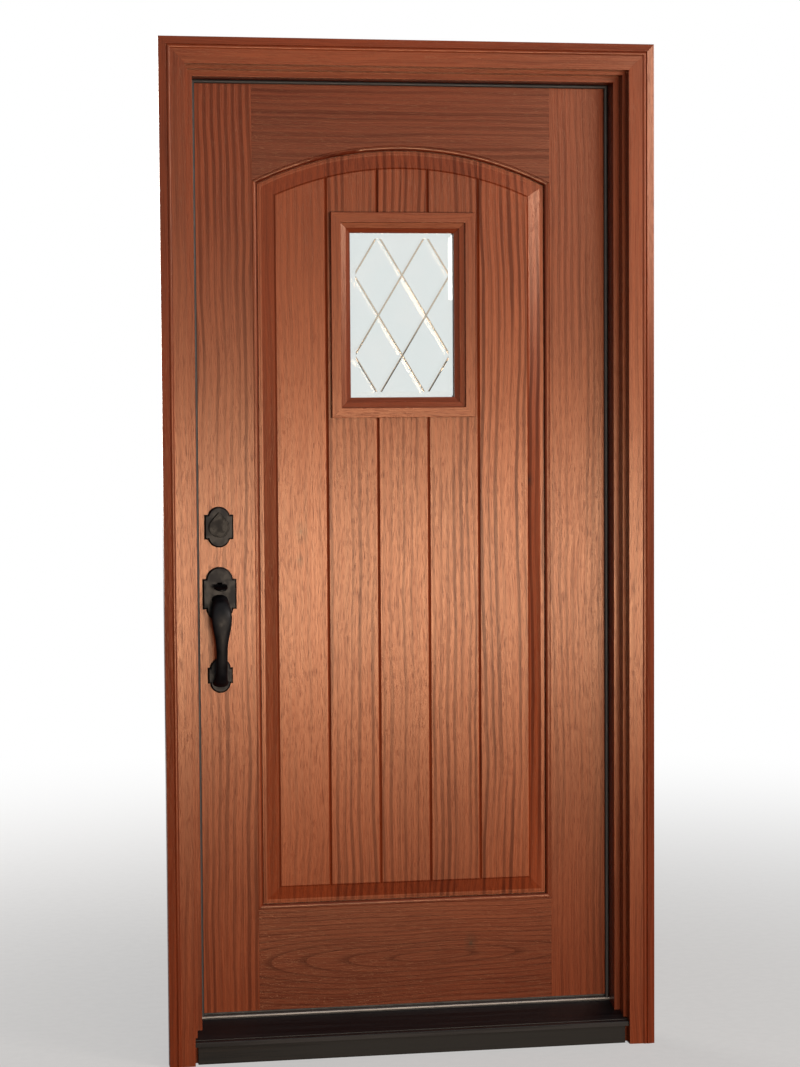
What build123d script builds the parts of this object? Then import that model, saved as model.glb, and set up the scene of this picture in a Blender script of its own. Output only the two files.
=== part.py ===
"""Entry door with an arched panel of V-grooved planks, in its own wooden frame.

X is to the right as seen from outside, Y into the building and Z up, in millimetres.
The origin is on the underside of the sill, at mid width, in the plane of the leaf's outer face.
At rest the leaf is closed, and both bolts are drawn back into its edge.
"""

import math
import os

from build123d import *

os.makedirs("parts", exist_ok=True)

# Leaf
leaf_width = 914.4
leaf_height = 1981.2
leaf_thickness = 44.45
stile_width = 137.2
side_gap = 3.0
top_gap = 3.2

# Sill
riser_height = 38.1
riser_setback = 6.0
threshold_height = 42.2
nose_height = 10.0
nose_reach = 20.4
nose_gap = 0.4
deck_step_at = 12.0
deck_step = 1.2
cap_wall = 3.0
cap_lip = 3.0
cap_thickness = 3.6
cap_tongue = 10.4
cap_play = 0.2
sweep_gap = 0.4
sweep_height = 4.6
sweep_depth = 36.0
sweep_top = 1.6
fin_width = 2.0
fin_count = 4

# Jambs
jamb_thickness = 31.75
rabbet_depth = 12.7
inner_rabbet = 47.6
stop_width = 48.0
outer_rabbet = 28.6
seal_space = 3.0
arris_radius = 1.2

# Brickmould
mould_width = 54.0
mould_thickness = 31.75
mould_reveal = 7.0
mould_band = 15.5
mould_band_slope = 3.0
mould_bead = 9.0
mould_face_depth = 3.5

# Weatherstrip
seal_play = 0.3
bulb_radius = 4.0
kerf_offset = 3.0
kerf_width = 2.6
kerf_depth = 9.0
barb_width = 2.2
barb_depth = 8.0

# Rails, measured to where the moulded edge of the opening begins
bottom_rail_width = 217.1
top_rail_width = 142.2
arch_radius = 716.5

# Moulded edge of the stiles and rails
moulding_width = 10.0
moulding_depth = 9.5
quirk_width = 0.8
quirk_depth = 1.2
bead_width = 3.2
bead_rise = 0.9
ovolo_bulge = 2.0
groove_depth = 2.0
tongue_thickness = 14.0
tongue_play = 0.2
tongue_end_gap = 0.5
tenon_length = 50.0
tenon_shoulder = 25.0

# Raised panel, its steps measured inwards from the opening and down from the leaf's face
shoulder_at = 12.0
step_at = 15.5
bevel_outer_at = 20.0
bevel_inner_at = 46.0
field_at = 49.5
shoulder_depth = 9.2
step_depth = 8.3
bevel_top_depth = 3.0
field_depth = 0.6
plank_pitch = 109.2
v_half_width = 3.1
v_depth = 3.2
plank_tongue = 6.0
plank_tongue_thickness = 6.0
plank_play = 0.2

# Glazed light in the panel, its frame measured inwards from its outer edge
light_drop = 500.3
light_width = 310.0
light_height = 434.0
light_proud = 12.0
lip_width = 21.5
lip_overlap = 12.5
lip_wall = 6.5
band_end_at = 33.2
band_fall = 3.2
bead_fall = 2.4
sight_at = 43.0
light_play = 0.3
glass_front = 9.0
pane_thickness = 6.0
spacer_width = 9.0
glass_edge_gap = 1.0
glass_bevel = 12.0
glass_bevel_fall = 2.0
diamond_half_width = 51.5
diamond_half_height = 85.0
engraving_width = 4.0
engraving_depth = 1.2

# Hinges
hinge_height = 88.9
hinge_half_width = 44.6
hinge_plate = 2.5
hinge_corner = 12.0
knuckle_radius = 6.2
knuckle_count = 5
knuckle_gap = 0.3
knuckle_overlap = 3.0
hinge_face_gap = 0.45
pin_radius = 3.2
pin_play = 0.05
pin_head_radius = 4.6
pin_head_height = 2.0
upper_hinge_drop = 178.0
lower_hinge_rise = 254.0

# Wood screws
screw_head_radius = 4.2
screw_shank_radius = 2.2
screw_length = 16.0
screw_play = 0.1
screw_margin = 12.0

# Bores, bolts and strikes
backset = 60.3
deadbolt_rise = 1036.1
bore_spacing = 139.7
cross_bore_radius = 27.0
edge_bore_radius = 12.7
case_radius = 12.5
case_reach = 72.0
case_hole_radius = 6.0
face_plate_height = 57.2
face_plate_width = 25.4
face_plate_thickness = 2.5
face_screw_offset = 22.0
bolt_play = 0.1
bolt_recess = 0.4
deadbolt_size = (14.0, 17.0)
deadbolt_length = 44.0
latch_size = (13.0, 16.0)
latch_length = 44.0
latch_tip = 3.0
strike_height = 70.0
strike_width = 29.0
strike_thickness = 2.0
strike_hole_height = 32.0
strike_hole_width = 20.0
strike_screw_offset = 27.0
latch_pocket_depth = 15.5
strike_length = 240.0

# Deadbolt trim
plate_thickness = 6.5
plate_chamfer = 3.0
deadbolt_plate_size = (61.0, 51.6, 45.7, 17.2)
cylinder_radius = 24.0
cylinder_depth = 9.0
plug_radius = 6.5
plug_front = 1.5
turn_play = 0.05
keyway_width = 1.8
keyway_height = 8.0
cover_radius = 21.5
cover_tip = 31.0
cover_tip_radius = 2.0
cover_pivot = 20.5
cover_thickness = 2.4
cover_rim = 3.0
cover_rim_height = 1.4
cover_gap = 0.4
stud_radius = 2.0
stud_boss_radius = 4.0
stud_head_radius = 3.2
stud_head_height = 1.4
rose_radius = 30.0
rose_thickness = 11.0
rose_chamfer = 4.0
turn_shaft_radius = 5.0
tail_radius = 3.0
turn_wing = (38.0, 9.0, 15.0)
turn_hub_radius = 11.0
turn_hub_height = 5.0
through_bolt_offset = 18.5
through_bolt_spread = 11.0
through_bolt_post = 4.2
through_bolt_radius = 2.2
through_bolt_engagement = 6.0

# Latch trim
handle_plate_size = (71.5, 63.6, 57.0, 25.5)
handle_plate_drop = 1.8
foot_plate_size = (53.0, 33.2, 43.5, 20.2)
foot_plate_drop = 174.5
thumb_slot = (10.6, 11.0)
thumb_pivot_rise = 17.3
thumb_hub_radius = 2.8
thumb_pivot_y = -3.2
thumb_width = 28.5
thumb_arm_width = 10.0
thumb_thickness = 3.4
thumb_reach = 38.0
thumb_drop = 9.0
thumb_inside = 7.5
knob_radius = 26.0
knob_neck_radius = 9.0
knob_neck = 16.0
knob_depth = 34.0
knob_face_radius = 14.0
knob_crown = 3.4
spindle_radius = 4.0

# The grip's stations: depth, height above the latch, direction down the grip, width and thickness
grip_stations = [
    (-plate_thickness, -13.7, (-1.0, 0.0), 34.0, 22.0),
    (-24.0, -15.7, (-0.94, -0.34), 33.0, 17.0),
    (-41.0, -31.7, (-0.45, -0.89), 39.0, 14.0),
    (-47.0, -52.7, (-0.08, -1.0), 42.0, 13.0),
    (-46.5, -85.7, (0.05, -1.0), 32.0, 13.0),
    (-43.0, -120.7, (0.15, -0.99), 23.6, 13.0),
    (-36.0, -155.7, (0.33, -0.94), 23.6, 13.5),
    (-22.0, -181.7, (0.8, -0.6), 27.0, 15.0),
    (-plate_thickness, -189.7, (1.0, 0.0), 34.0, 19.0),
]

# Places worked out from the sizes above
half_leaf = leaf_width / 2
rabbet_x = half_leaf + side_gap
stop_x = rabbet_x - rabbet_depth
jamb_back_x = stop_x + jamb_thickness
jamb_inner_y = inner_rabbet - seal_space
stop_outer_y = -seal_space - stop_width
jamb_outer_y = stop_outer_y - outer_rabbet
sill_top = riser_height + threshold_height
leaf_bottom = sill_top + sweep_gap + sweep_height
leaf_top = leaf_bottom + leaf_height
head_top = leaf_top + top_gap - rabbet_depth + jamb_thickness
opening_bottom = leaf_bottom + bottom_rail_width
opening_top = leaf_top - top_rail_width
light_z = leaf_top - light_drop
seam_x = half_leaf - stile_width
middle_y = leaf_thickness / 2
arch_z = opening_top - arch_radius
arch_half_angle = math.degrees(math.asin(seam_x / arch_radius)) + 2.0
tongue_reach = groove_depth - tongue_end_gap
hinge_x = half_leaf + side_gap / 2
hinge_y = leaf_thickness + hinge_face_gap + knuckle_radius
hinge_edge_y = hinge_y - hinge_half_width
lock_x = backset - half_leaf
deadbolt_z = leaf_bottom + deadbolt_rise
latch_z = deadbolt_z - bore_spacing
handle_plate_z = latch_z - handle_plate_drop
foot_plate_z = latch_z - foot_plate_drop
thumb_pivot_z = latch_z + thumb_pivot_rise
margin = 1.0
through = 2.0 * leaf_thickness


def keep(piece, name):
    """Labels a finished piece and writes its file."""
    piece.part.label = name
    export_step(piece.part, f"parts/{name}.step")


def block(low, high, mode=Mode.ADD):
    """A block between two corners, in the current part."""
    size = [b - a for a, b in zip(low, high)]
    middle = [(a + b) / 2 for a, b in zip(low, high)]
    with Locations(tuple(middle)):
        Box(*size, mode=mode)


def facing(x, y, z):
    """A sketch plane upright in the door, with X across it and Z pointing outwards."""
    return Plane(origin=(x, y, z), x_dir=(1, 0, 0), z_dir=(0, -1, 0))


def run_plane(start, run):
    """A section plane for what runs clockwise round an opening: X into the opening, Y into the building."""
    return Plane(origin=start, x_dir=Vector(0, 1, 0).cross(Vector(*run)), z_dir=run)


def mitred_bar(section, start, end, mitred_start=True, mitred_end=True):
    """A bar with a given section along an outer edge, mitred where it meets the next bar."""
    start, end = Vector(*start), Vector(*end)
    length = (end - start).length
    run = (end - start).normalized()
    width = section.sketch.bounding_box().max.X
    with BuildPart() as bar:
        with BuildSketch(run_plane(start, run)):
            add(section.sketch)
        extrude(amount=length)
        with BuildSketch(Plane(origin=start, x_dir=Vector(0, 1, 0).cross(run), z_dir=(0, -1, 0))):
            with BuildLine():
                Polyline(
                    (0, 0),
                    (width, width if mitred_start else 0),
                    (width, length - width if mitred_end else length),
                    (0, length),
                    close=True,
                )
            make_face()
        extrude(amount=stop_width + through, both=True, mode=Mode.INTERSECT)
    return bar


# Sill: a timber riser, a sloping threshold on it, and a cap in the threshold's channel
nose_y = jamb_outer_y - nose_reach
nose_top = riser_height + nose_height
cap_under = sill_top - cap_thickness
cap_seat = cap_under - cap_tongue
channel_outer_y = -seal_space - cap_wall - cap_lip
channel_inner_y = jamb_inner_y - cap_wall
cap_outer_y = channel_outer_y - cap_wall
deck_top = cap_under - cap_lip

with BuildPart() as sill_riser:
    block((-rabbet_x, nose_y + riser_setback, 0), (rabbet_x, jamb_inner_y, riser_height))
keep(sill_riser, "sill_riser")

with BuildSketch() as threshold_section:
    with BuildLine():
        Polyline(
            (nose_y, riser_height),
            (nose_y, nose_top - margin),
            (nose_y + margin, nose_top),
            (nose_y + deck_step_at, nose_top + deck_step),
            (nose_y + deck_step_at, nose_top + 2 * deck_step),
            (cap_outer_y, deck_top),
            (cap_outer_y, cap_under),
            (channel_outer_y, cap_under),
            (channel_outer_y, cap_seat),
            (channel_inner_y, cap_seat),
            (channel_inner_y, cap_under),
            (jamb_inner_y, cap_under),
            (jamb_inner_y, riser_height),
            close=True,
        )
    make_face()

with BuildPart() as threshold:
    with BuildSketch(Plane.YZ.offset(-rabbet_x)):
        add(threshold_section.sketch)
    extrude(amount=2 * rabbet_x)
    with BuildSketch(Plane.YZ.offset(-rabbet_x - mould_reveal + nose_gap)):
        add(threshold_section.sketch)
        with Locations((jamb_outer_y + through, nose_top)):
            Rectangle(2 * through + nose_gap, through, mode=Mode.SUBTRACT)
    extrude(amount=2 * (rabbet_x + mould_reveal - nose_gap))
keep(threshold, "threshold")

with BuildPart() as sill_cap:
    block((-rabbet_x, cap_outer_y, cap_under), (rabbet_x, jamb_inner_y, sill_top))
    block(
        (-rabbet_x, channel_outer_y + cap_play, cap_seat),
        (rabbet_x, channel_inner_y - cap_play, cap_under),
    )
    fillet(sill_cap.edges().filter_by(Axis.X).group_by(Axis.Z)[-1], radius=arris_radius)
keep(sill_cap, "sill_cap")

# Jambs, each with a rabbet on either side of its stop and a kerf for the weatherstrip
rabbet_wall = jamb_thickness - rabbet_depth
kerf_start = rabbet_wall + kerf_offset
with BuildSketch() as jamb_section:
    with BuildLine():
        Polyline(
            (0, jamb_outer_y),
            (rabbet_wall, jamb_outer_y),
            (rabbet_wall, stop_outer_y),
            (jamb_thickness, stop_outer_y),
            (jamb_thickness, -seal_space),
            (kerf_start + kerf_width, -seal_space),
            (kerf_start + kerf_width, -seal_space - kerf_depth),
            (kerf_start, -seal_space - kerf_depth),
            (kerf_start, -seal_space),
            (rabbet_wall, -seal_space),
            (rabbet_wall, jamb_inner_y),
            (0, jamb_inner_y),
            close=True,
        )
    make_face()
    fillet(jamb_section.vertices().group_by(Axis.X)[-1], radius=arris_radius)

jamb_corners = [
    (-jamb_back_x, 0, 0),
    (-jamb_back_x, 0, head_top),
    (jamb_back_x, 0, head_top),
    (jamb_back_x, 0, 0),
]
lock_jamb_bar = mitred_bar(jamb_section, jamb_corners[0], jamb_corners[1], mitred_start=False)
head_bar = mitred_bar(jamb_section, jamb_corners[1], jamb_corners[2])
hinge_jamb_bar = mitred_bar(jamb_section, jamb_corners[2], jamb_corners[3], mitred_end=False)


def sill_notch():
    """Cuts the room for the riser, the threshold and its cap from the foot of a jamb."""
    with BuildSketch(Plane.YZ.offset(-rabbet_x)) as notch:
        add(threshold_section.sketch)
        with BuildLine():
            Polyline(
                (nose_y - margin, -margin),
                (nose_y - margin, riser_height),
                (cap_outer_y, riser_height),
                (cap_outer_y, sill_top),
                (jamb_inner_y + margin, sill_top),
                (jamb_inner_y + margin, -margin),
                close=True,
            )
        make_face()
    extrude(notch.sketch, amount=2 * rabbet_x, mode=Mode.SUBTRACT)


def screw_spots(places, direction):
    """Places for screws that point along a direction."""
    return Locations(*[Plane(origin=place, x_dir=(0, 0, 1), z_dir=direction) for place in places])


def screws(places, direction, head_depth, play=0.0, mode=Mode.ADD):
    """Countersunk screws with their heads flush at the given places, or with play the holes for them."""
    seat = (Align.CENTER, Align.CENTER, Align.MIN)
    with screw_spots(places, direction):
        Cone(screw_head_radius + play, screw_shank_radius + play, head_depth, align=seat, mode=mode)
        Cylinder(screw_shank_radius + play, screw_length + play, align=seat, mode=mode)


# Strikes: a plate over each bolt's pocket in the lock-side jamb
bolt_heights = (latch_z, deadbolt_z)
strike_screw_places = [
    (-rabbet_x, middle_y, z + rise)
    for z in bolt_heights
    for rise in (-strike_screw_offset, strike_screw_offset)
]

with BuildPart() as lock_jamb:
    add(lock_jamb_bar.part)
    sill_notch()
    with BuildSketch(Plane.YZ.offset(-rabbet_x)):
        with Locations(*[(middle_y, z) for z in bolt_heights]):
            Rectangle(strike_width, strike_height)
    extrude(amount=-strike_thickness, mode=Mode.SUBTRACT)
    with BuildSketch(Plane.YZ.offset(-rabbet_x)):
        with Locations((middle_y, latch_z)):
            Rectangle(strike_hole_width, strike_hole_height)
    extrude(amount=-latch_pocket_depth, mode=Mode.SUBTRACT)
    with BuildSketch(Plane.YZ.offset(-rabbet_x)):
        with Locations((middle_y, deadbolt_z)):
            Rectangle(strike_hole_width, strike_hole_height)
    extrude(amount=-jamb_thickness, mode=Mode.SUBTRACT)
    screws(strike_screw_places, (-1, 0, 0), strike_thickness, screw_play, Mode.SUBTRACT)

# The lock jamb is spliced from three lengths, and the short one between the splices carries both strikes
splice_low = Plane.XY.offset((latch_z + deadbolt_z - strike_length) / 2)
splice_high = splice_low.offset(strike_length)

with BuildPart() as jamb_left_lower:
    add(lock_jamb.part)
    split(bisect_by=splice_low, keep=Keep.BOTTOM)
keep(jamb_left_lower, "jamb_left_lower")

with BuildPart() as jamb_left_strike:
    add(lock_jamb.part)
    split(bisect_by=splice_low, keep=Keep.TOP)
    split(bisect_by=splice_high, keep=Keep.BOTTOM)
keep(jamb_left_strike, "jamb_left_strike")

with BuildPart() as jamb_left_upper:
    add(lock_jamb.part)
    split(bisect_by=splice_high, keep=Keep.TOP)
keep(jamb_left_upper, "jamb_left_upper")

with BuildPart() as strike_plates:
    with BuildSketch(Plane.YZ.offset(-rabbet_x)):
        with Locations(*[(middle_y, z) for z in bolt_heights]):
            Rectangle(strike_width, strike_height)
            Rectangle(strike_hole_width, strike_hole_height, mode=Mode.SUBTRACT)
    extrude(amount=-strike_thickness)
    screws(strike_screw_places, (-1, 0, 0), strike_thickness, screw_play, Mode.SUBTRACT)
keep(strike_plates, "strike_plates")

with BuildPart() as strike_screws:
    screws(strike_screw_places, (-1, 0, 0), strike_thickness)
keep(strike_screws, "strike_screws")

with BuildPart() as jamb_head:
    add(head_bar.part)
keep(jamb_head, "jamb_head")

# Hinges: plates let into the leaf and the jamb, with knuckles on a pin just inside the leaf's inner face
hinge_heights = (
    leaf_bottom + lower_hinge_rise + hinge_height / 2,
    (leaf_bottom + lower_hinge_rise + leaf_top - upper_hinge_drop) / 2,
    leaf_top - upper_hinge_drop - hinge_height / 2,
)
knuckle_pitch = hinge_height / knuckle_count
hinge_screw_rise = hinge_height / 2 - screw_margin
hinge_screw_spots = (
    (hinge_edge_y + screw_margin, -hinge_screw_rise),
    (hinge_edge_y + 2 * screw_margin, 0),
    (hinge_edge_y + screw_margin, hinge_screw_rise),
)
jamb_screw_places = [(rabbet_x, y, z + rise) for z in hinge_heights for y, rise in hinge_screw_spots]
leaf_screw_places = [(half_leaf, y, z + rise) for z in hinge_heights for y, rise in hinge_screw_spots]


def hinge_beds(x_face, inner_edge_y, depth, mode=Mode.ADD):
    """The hinges' flat plates, or the recesses for them, with rounded corners away from the knuckles."""
    with BuildSketch(Plane.YZ.offset(x_face)) as beds:
        with Locations(*[((hinge_edge_y + inner_edge_y) / 2, z) for z in hinge_heights]):
            Rectangle(inner_edge_y - hinge_edge_y, hinge_height)
        fillet(beds.vertices().group_by(Axis.X)[0], radius=hinge_corner)
    extrude(beds.sketch, amount=depth, mode=mode)


def hinge_knuckles(numbers, plate_x, inner_edge_y):
    """Knuckles on the pin's line, each with the piece of plate that reaches it."""
    length = knuckle_pitch - knuckle_gap
    knuckle_places = [
        z - hinge_height / 2 + (number + 0.5) * knuckle_pitch for z in hinge_heights for number in numbers
    ]
    reach = hinge_y - knuckle_radius + knuckle_overlap
    for z in knuckle_places:
        block(
            (plate_x, inner_edge_y, z - length / 2),
            (plate_x + hinge_plate, reach, z + length / 2),
        )
    with Locations(*[(hinge_x, hinge_y, z) for z in knuckle_places]):
        Cylinder(knuckle_radius, length)
        Cylinder(pin_radius + pin_play, length, mode=Mode.SUBTRACT)


with BuildPart() as jamb_right:
    add(hinge_jamb_bar.part)
    sill_notch()
    hinge_beds(rabbet_x, jamb_inner_y, hinge_plate, Mode.SUBTRACT)
    screws(jamb_screw_places, (1, 0, 0), hinge_plate, screw_play, Mode.SUBTRACT)
keep(jamb_right, "jamb_right")

with BuildPart() as hinge_jamb_plates:
    hinge_beds(rabbet_x, jamb_inner_y, hinge_plate)
    hinge_knuckles((0, 2, 4), rabbet_x, jamb_inner_y)
    screws(jamb_screw_places, (1, 0, 0), hinge_plate, screw_play, Mode.SUBTRACT)
keep(hinge_jamb_plates, "hinge_jamb_plates")

with BuildPart() as hinge_leaf_plates:
    hinge_beds(half_leaf, leaf_thickness, -hinge_plate)
    hinge_knuckles((1, 3), half_leaf - hinge_plate, leaf_thickness)
    screws(leaf_screw_places, (-1, 0, 0), hinge_plate, screw_play, Mode.SUBTRACT)
keep(hinge_leaf_plates, "hinge_leaf_plates")

with BuildPart() as hinge_pins:
    with Locations(*[(hinge_x, hinge_y, z) for z in hinge_heights]):
        Cylinder(pin_radius, hinge_height)
    for end in (-1, 1):
        rise = end * (hinge_height + pin_head_height) / 2
        with Locations(*[(hinge_x, hinge_y, z + rise) for z in hinge_heights]):
            Cylinder(pin_head_radius, pin_head_height)
keep(hinge_pins, "hinge_pins")

with BuildPart() as jamb_hinge_screws:
    screws(jamb_screw_places, (1, 0, 0), hinge_plate)
keep(jamb_hinge_screws, "jamb_hinge_screws")

with BuildPart() as leaf_hinge_screws:
    screws(leaf_screw_places, (-1, 0, 0), hinge_plate)
keep(leaf_hinge_screws, "leaf_hinge_screws")

# Brickmould on the outer edge of the jambs
mould_front_y = jamb_outer_y - mould_thickness
with BuildSketch() as mould_section:
    with BuildLine():
        Polyline(
            (0, jamb_outer_y),
            (0, mould_front_y + mould_band_slope),
            (mould_band, mould_front_y),
            (mould_band + quirk_width, mould_front_y + mould_band_slope),
        )
        ThreePointArc(
            (mould_band + quirk_width, mould_front_y + mould_band_slope),
            (mould_band + mould_bead / 2, mould_front_y + quirk_depth),
            (mould_band + mould_bead, mould_front_y + mould_face_depth),
        )
        Polyline(
            (mould_band + mould_bead, mould_front_y + mould_face_depth),
            (mould_width, mould_front_y + mould_face_depth + quirk_depth),
            (mould_width, jamb_outer_y),
            (0, jamb_outer_y),
        )
    make_face()

mould_outer_x = rabbet_x + mould_reveal + mould_width
mould_top = leaf_top + top_gap + mould_reveal + mould_width
mould_corners = [
    (-mould_outer_x, 0, 0),
    (-mould_outer_x, 0, mould_top),
    (mould_outer_x, 0, mould_top),
    (mould_outer_x, 0, 0),
]
keep(mitred_bar(mould_section, mould_corners[0], mould_corners[1], mitred_start=False), "brickmould_left")
keep(mitred_bar(mould_section, mould_corners[1], mould_corners[2]), "brickmould_head")
keep(mitred_bar(mould_section, mould_corners[2], mould_corners[3], mitred_end=False), "brickmould_right")

# Weatherstrip: a barb in the jamb's kerf, a flat web before the leaf and a bulb past the stop's edge
bulb_x = jamb_thickness - rabbet_wall + seal_play + bulb_radius
with BuildSketch() as seal_section:
    with BuildLine():
        Polyline(
            (seal_play, -seal_space + seal_play),
            (seal_play, -seal_play),
            (bulb_x, -seal_play),
            (bulb_x, -seal_space + seal_play),
            (kerf_offset + (kerf_width + barb_width) / 2, -seal_space + seal_play),
            (kerf_offset + (kerf_width + barb_width) / 2, -seal_space - barb_depth),
            (kerf_offset + (kerf_width - barb_width) / 2, -seal_space - barb_depth),
            (kerf_offset + (kerf_width - barb_width) / 2, -seal_space + seal_play),
            close=True,
        )
    make_face()
    with Locations((bulb_x, -seal_play - bulb_radius)):
        Circle(bulb_radius)

seal_top = leaf_top + top_gap
seal_corners = [
    (-rabbet_x, 0, sill_top),
    (-rabbet_x, 0, seal_top),
    (rabbet_x, 0, seal_top),
    (rabbet_x, 0, sill_top),
]
lock_seal = mitred_bar(seal_section, seal_corners[0], seal_corners[1], mitred_start=False)
head_seal = mitred_bar(seal_section, seal_corners[1], seal_corners[2])
hinge_seal = mitred_bar(seal_section, seal_corners[2], seal_corners[3], mitred_end=False)

with BuildPart() as weatherstrip:
    add(lock_seal.part)
    add(head_seal.part)
    add(hinge_seal.part)
keep(weatherstrip, "weatherstrip")


# Leaf frame: stiles and rails moulded round an arched opening
def corner_z(inset):
    """Height at which the arch meets the opening's side, both moved into the opening."""
    return arch_z + math.sqrt((arch_radius - inset) ** 2 - (seam_x - inset) ** 2)


# What is cut beside the opening: a moulded edge on each face and the panel's groove
bead_end = quirk_width + bead_width
waste_end = moulding_width + margin
ovolo_middle = (
    (bead_end + moulding_width) / 2 + ovolo_bulge,
    (quirk_depth + moulding_depth) / 2 - ovolo_bulge,
)
with BuildSketch() as frame_edge_waste:
    with BuildLine():
        Polyline(
            (waste_end, -margin),
            (0, -margin),
            (0, 0),
            (quirk_width, quirk_depth),
            (quirk_width + bead_width / 4, quirk_depth - bead_rise),
            (bead_end - bead_width / 4, quirk_depth - bead_rise),
            (bead_end, quirk_depth),
        )
        ThreePointArc((bead_end, quirk_depth), ovolo_middle, (moulding_width, moulding_depth))
        Polyline((moulding_width, moulding_depth), (waste_end, moulding_depth), (waste_end, -margin))
    make_face()
    mirror(about=Plane.XZ.offset(-middle_y))
    with Locations(((waste_end - groove_depth) / 2, middle_y)):
        Rectangle(waste_end + groove_depth, tongue_thickness + 2 * tongue_play)

# What is cut from the panel's edge, on both faces, to leave a tongue and a raised field
tongue_face = (leaf_thickness - tongue_thickness) / 2
with BuildSketch() as panel_edge_waste:
    with BuildLine():
        Polyline(
            (field_at, -margin),
            (field_at, field_depth),
            (bevel_inner_at, bevel_top_depth),
            (bevel_outer_at, step_depth),
            (step_at, step_depth),
            (step_at, shoulder_depth),
            (shoulder_at, shoulder_depth),
            (shoulder_at, tongue_face),
            (-tongue_reach - margin, tongue_face),
            (-tongue_reach - margin, -margin),
            close=True,
        )
    make_face()
    mirror(about=Plane.XZ.offset(-middle_y))


def cut_along(section, start, run, length):
    """Cuts a section along a straight line from the current part."""
    with BuildSketch(run_plane(start, run)) as cutter:
        add(section.sketch)
    extrude(cutter.sketch, amount=length, mode=Mode.SUBTRACT)


def cut_round_arch(section):
    """Cuts a section along the arch from the current part."""
    angle = math.radians(arch_half_angle)
    start = (-arch_radius * math.sin(angle), 0, arch_z + arch_radius * math.cos(angle))
    with BuildSketch(run_plane(start, (math.cos(angle), 0, math.sin(angle)))) as cutter:
        add(section.sketch)
    revolve(
        cutter.sketch,
        axis=Axis((0, 0, arch_z), (0, 1, 0)),
        revolution_arc=2 * arch_half_angle,
        mode=Mode.SUBTRACT,
    )


rail_tenons = (
    (leaf_bottom + tenon_shoulder, opening_bottom - tenon_shoulder),
    (corner_z(0) + tenon_shoulder, leaf_top - tenon_shoulder),
)
lip_x = seam_x - moulding_width


def stile_body(side):
    """The stile on one side of the leaf, moulded and grooved beside the opening, square beyond it."""
    outer_x = side * half_leaf
    inner_x = side * lip_x
    block(
        (min(inner_x, outer_x), 0, leaf_bottom),
        (max(inner_x, outer_x), leaf_thickness, leaf_top),
    )
    start_z = leaf_bottom if side < 0 else leaf_top
    cut_along(frame_edge_waste, (side * seam_x, 0, start_z), (0, 0, -side), leaf_height)
    with BuildSketch(facing(0, leaf_thickness, 0)) as outline:
        with BuildLine():
            Polyline(
                (outer_x, leaf_bottom),
                (outer_x, leaf_top),
                (side * seam_x, leaf_top),
                (side * seam_x, corner_z(0)),
                (inner_x, corner_z(moulding_width)),
                (inner_x, opening_bottom + moulding_width),
                (side * seam_x, opening_bottom),
                (side * seam_x, leaf_bottom),
                close=True,
            )
        make_face()
    extrude(outline.sketch, amount=leaf_thickness, mode=Mode.INTERSECT)
    mortise = tenon_length + 2 * tongue_end_gap
    for low, high in rail_tenons:
        with Locations((side * (seam_x + mortise / 2), middle_y, (low + high) / 2)):
            Box(mortise, tongue_thickness + 2 * tongue_play, high - low + 2 * tongue_play, mode=Mode.SUBTRACT)


def rail_ends(low, high, tenon):
    """The tongues and tenons that a rail has at both of its ends."""
    for bottom, top, reach in ((low, high, tongue_reach), (*tenon, tenon_length)):
        for side in (-1, 1):
            with Locations((side * (seam_x + reach / 2), middle_y, (bottom + top) / 2)):
                Box(reach, tongue_thickness, top - bottom)


with BuildPart() as top_rail:
    block((-seam_x, 0, corner_z(moulding_width) - margin), (seam_x, leaf_thickness, leaf_top))
    cut_round_arch(frame_edge_waste)
    with BuildSketch(facing(0, leaf_thickness, 0)):
        with BuildLine():
            Polyline(
                (lip_x, corner_z(moulding_width)),
                (seam_x, corner_z(0)),
                (seam_x, leaf_top),
                (-seam_x, leaf_top),
                (-seam_x, corner_z(0)),
                (-lip_x, corner_z(moulding_width)),
            )
            ThreePointArc(
                (-lip_x, corner_z(moulding_width)),
                (0, opening_top - moulding_width),
                (lip_x, corner_z(moulding_width)),
            )
        make_face()
    extrude(amount=leaf_thickness, mode=Mode.INTERSECT)
    rail_ends(corner_z(0) + groove_depth, leaf_top, rail_tenons[1])
keep(top_rail, "top_rail")

with BuildPart() as bottom_rail:
    with BuildSketch(facing(0, leaf_thickness, 0)):
        with BuildLine():
            Polyline(
                (-seam_x, leaf_bottom),
                (-seam_x, opening_bottom),
                (-lip_x, opening_bottom + moulding_width),
                (lip_x, opening_bottom + moulding_width),
                (seam_x, opening_bottom),
                (seam_x, leaf_bottom),
                close=True,
            )
        make_face()
    extrude(amount=leaf_thickness)
    cut_along(frame_edge_waste, (seam_x, 0, opening_bottom), (-1, 0, 0), 2 * seam_x)
    rail_ends(leaf_bottom, opening_bottom - groove_depth, rail_tenons[0])
keep(bottom_rail, "bottom_rail")

face_screw_places = [
    (-half_leaf, middle_y, z + rise) for z in bolt_heights for rise in (-face_screw_offset, face_screw_offset)
]
with BuildPart() as lock_stile:
    stile_body(-1)
    with Locations(*[facing(lock_x, middle_y, z) for z in bolt_heights]):
        Cylinder(cross_bore_radius, through, mode=Mode.SUBTRACT)
    with Locations(*[Plane(origin=(-half_leaf, middle_y, z), z_dir=(1, 0, 0)) for z in bolt_heights]):
        Cylinder(
            edge_bore_radius,
            case_reach + margin,
            align=(Align.CENTER, Align.CENTER, Align.MIN),
            mode=Mode.SUBTRACT,
        )
    with Locations(*[(-half_leaf, middle_y, z) for z in bolt_heights]):
        Box(2 * face_plate_thickness, face_plate_width, face_plate_height, mode=Mode.SUBTRACT)
    screws(face_screw_places, (1, 0, 0), face_plate_thickness, screw_play, Mode.SUBTRACT)
keep(lock_stile, "lock_stile")

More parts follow.
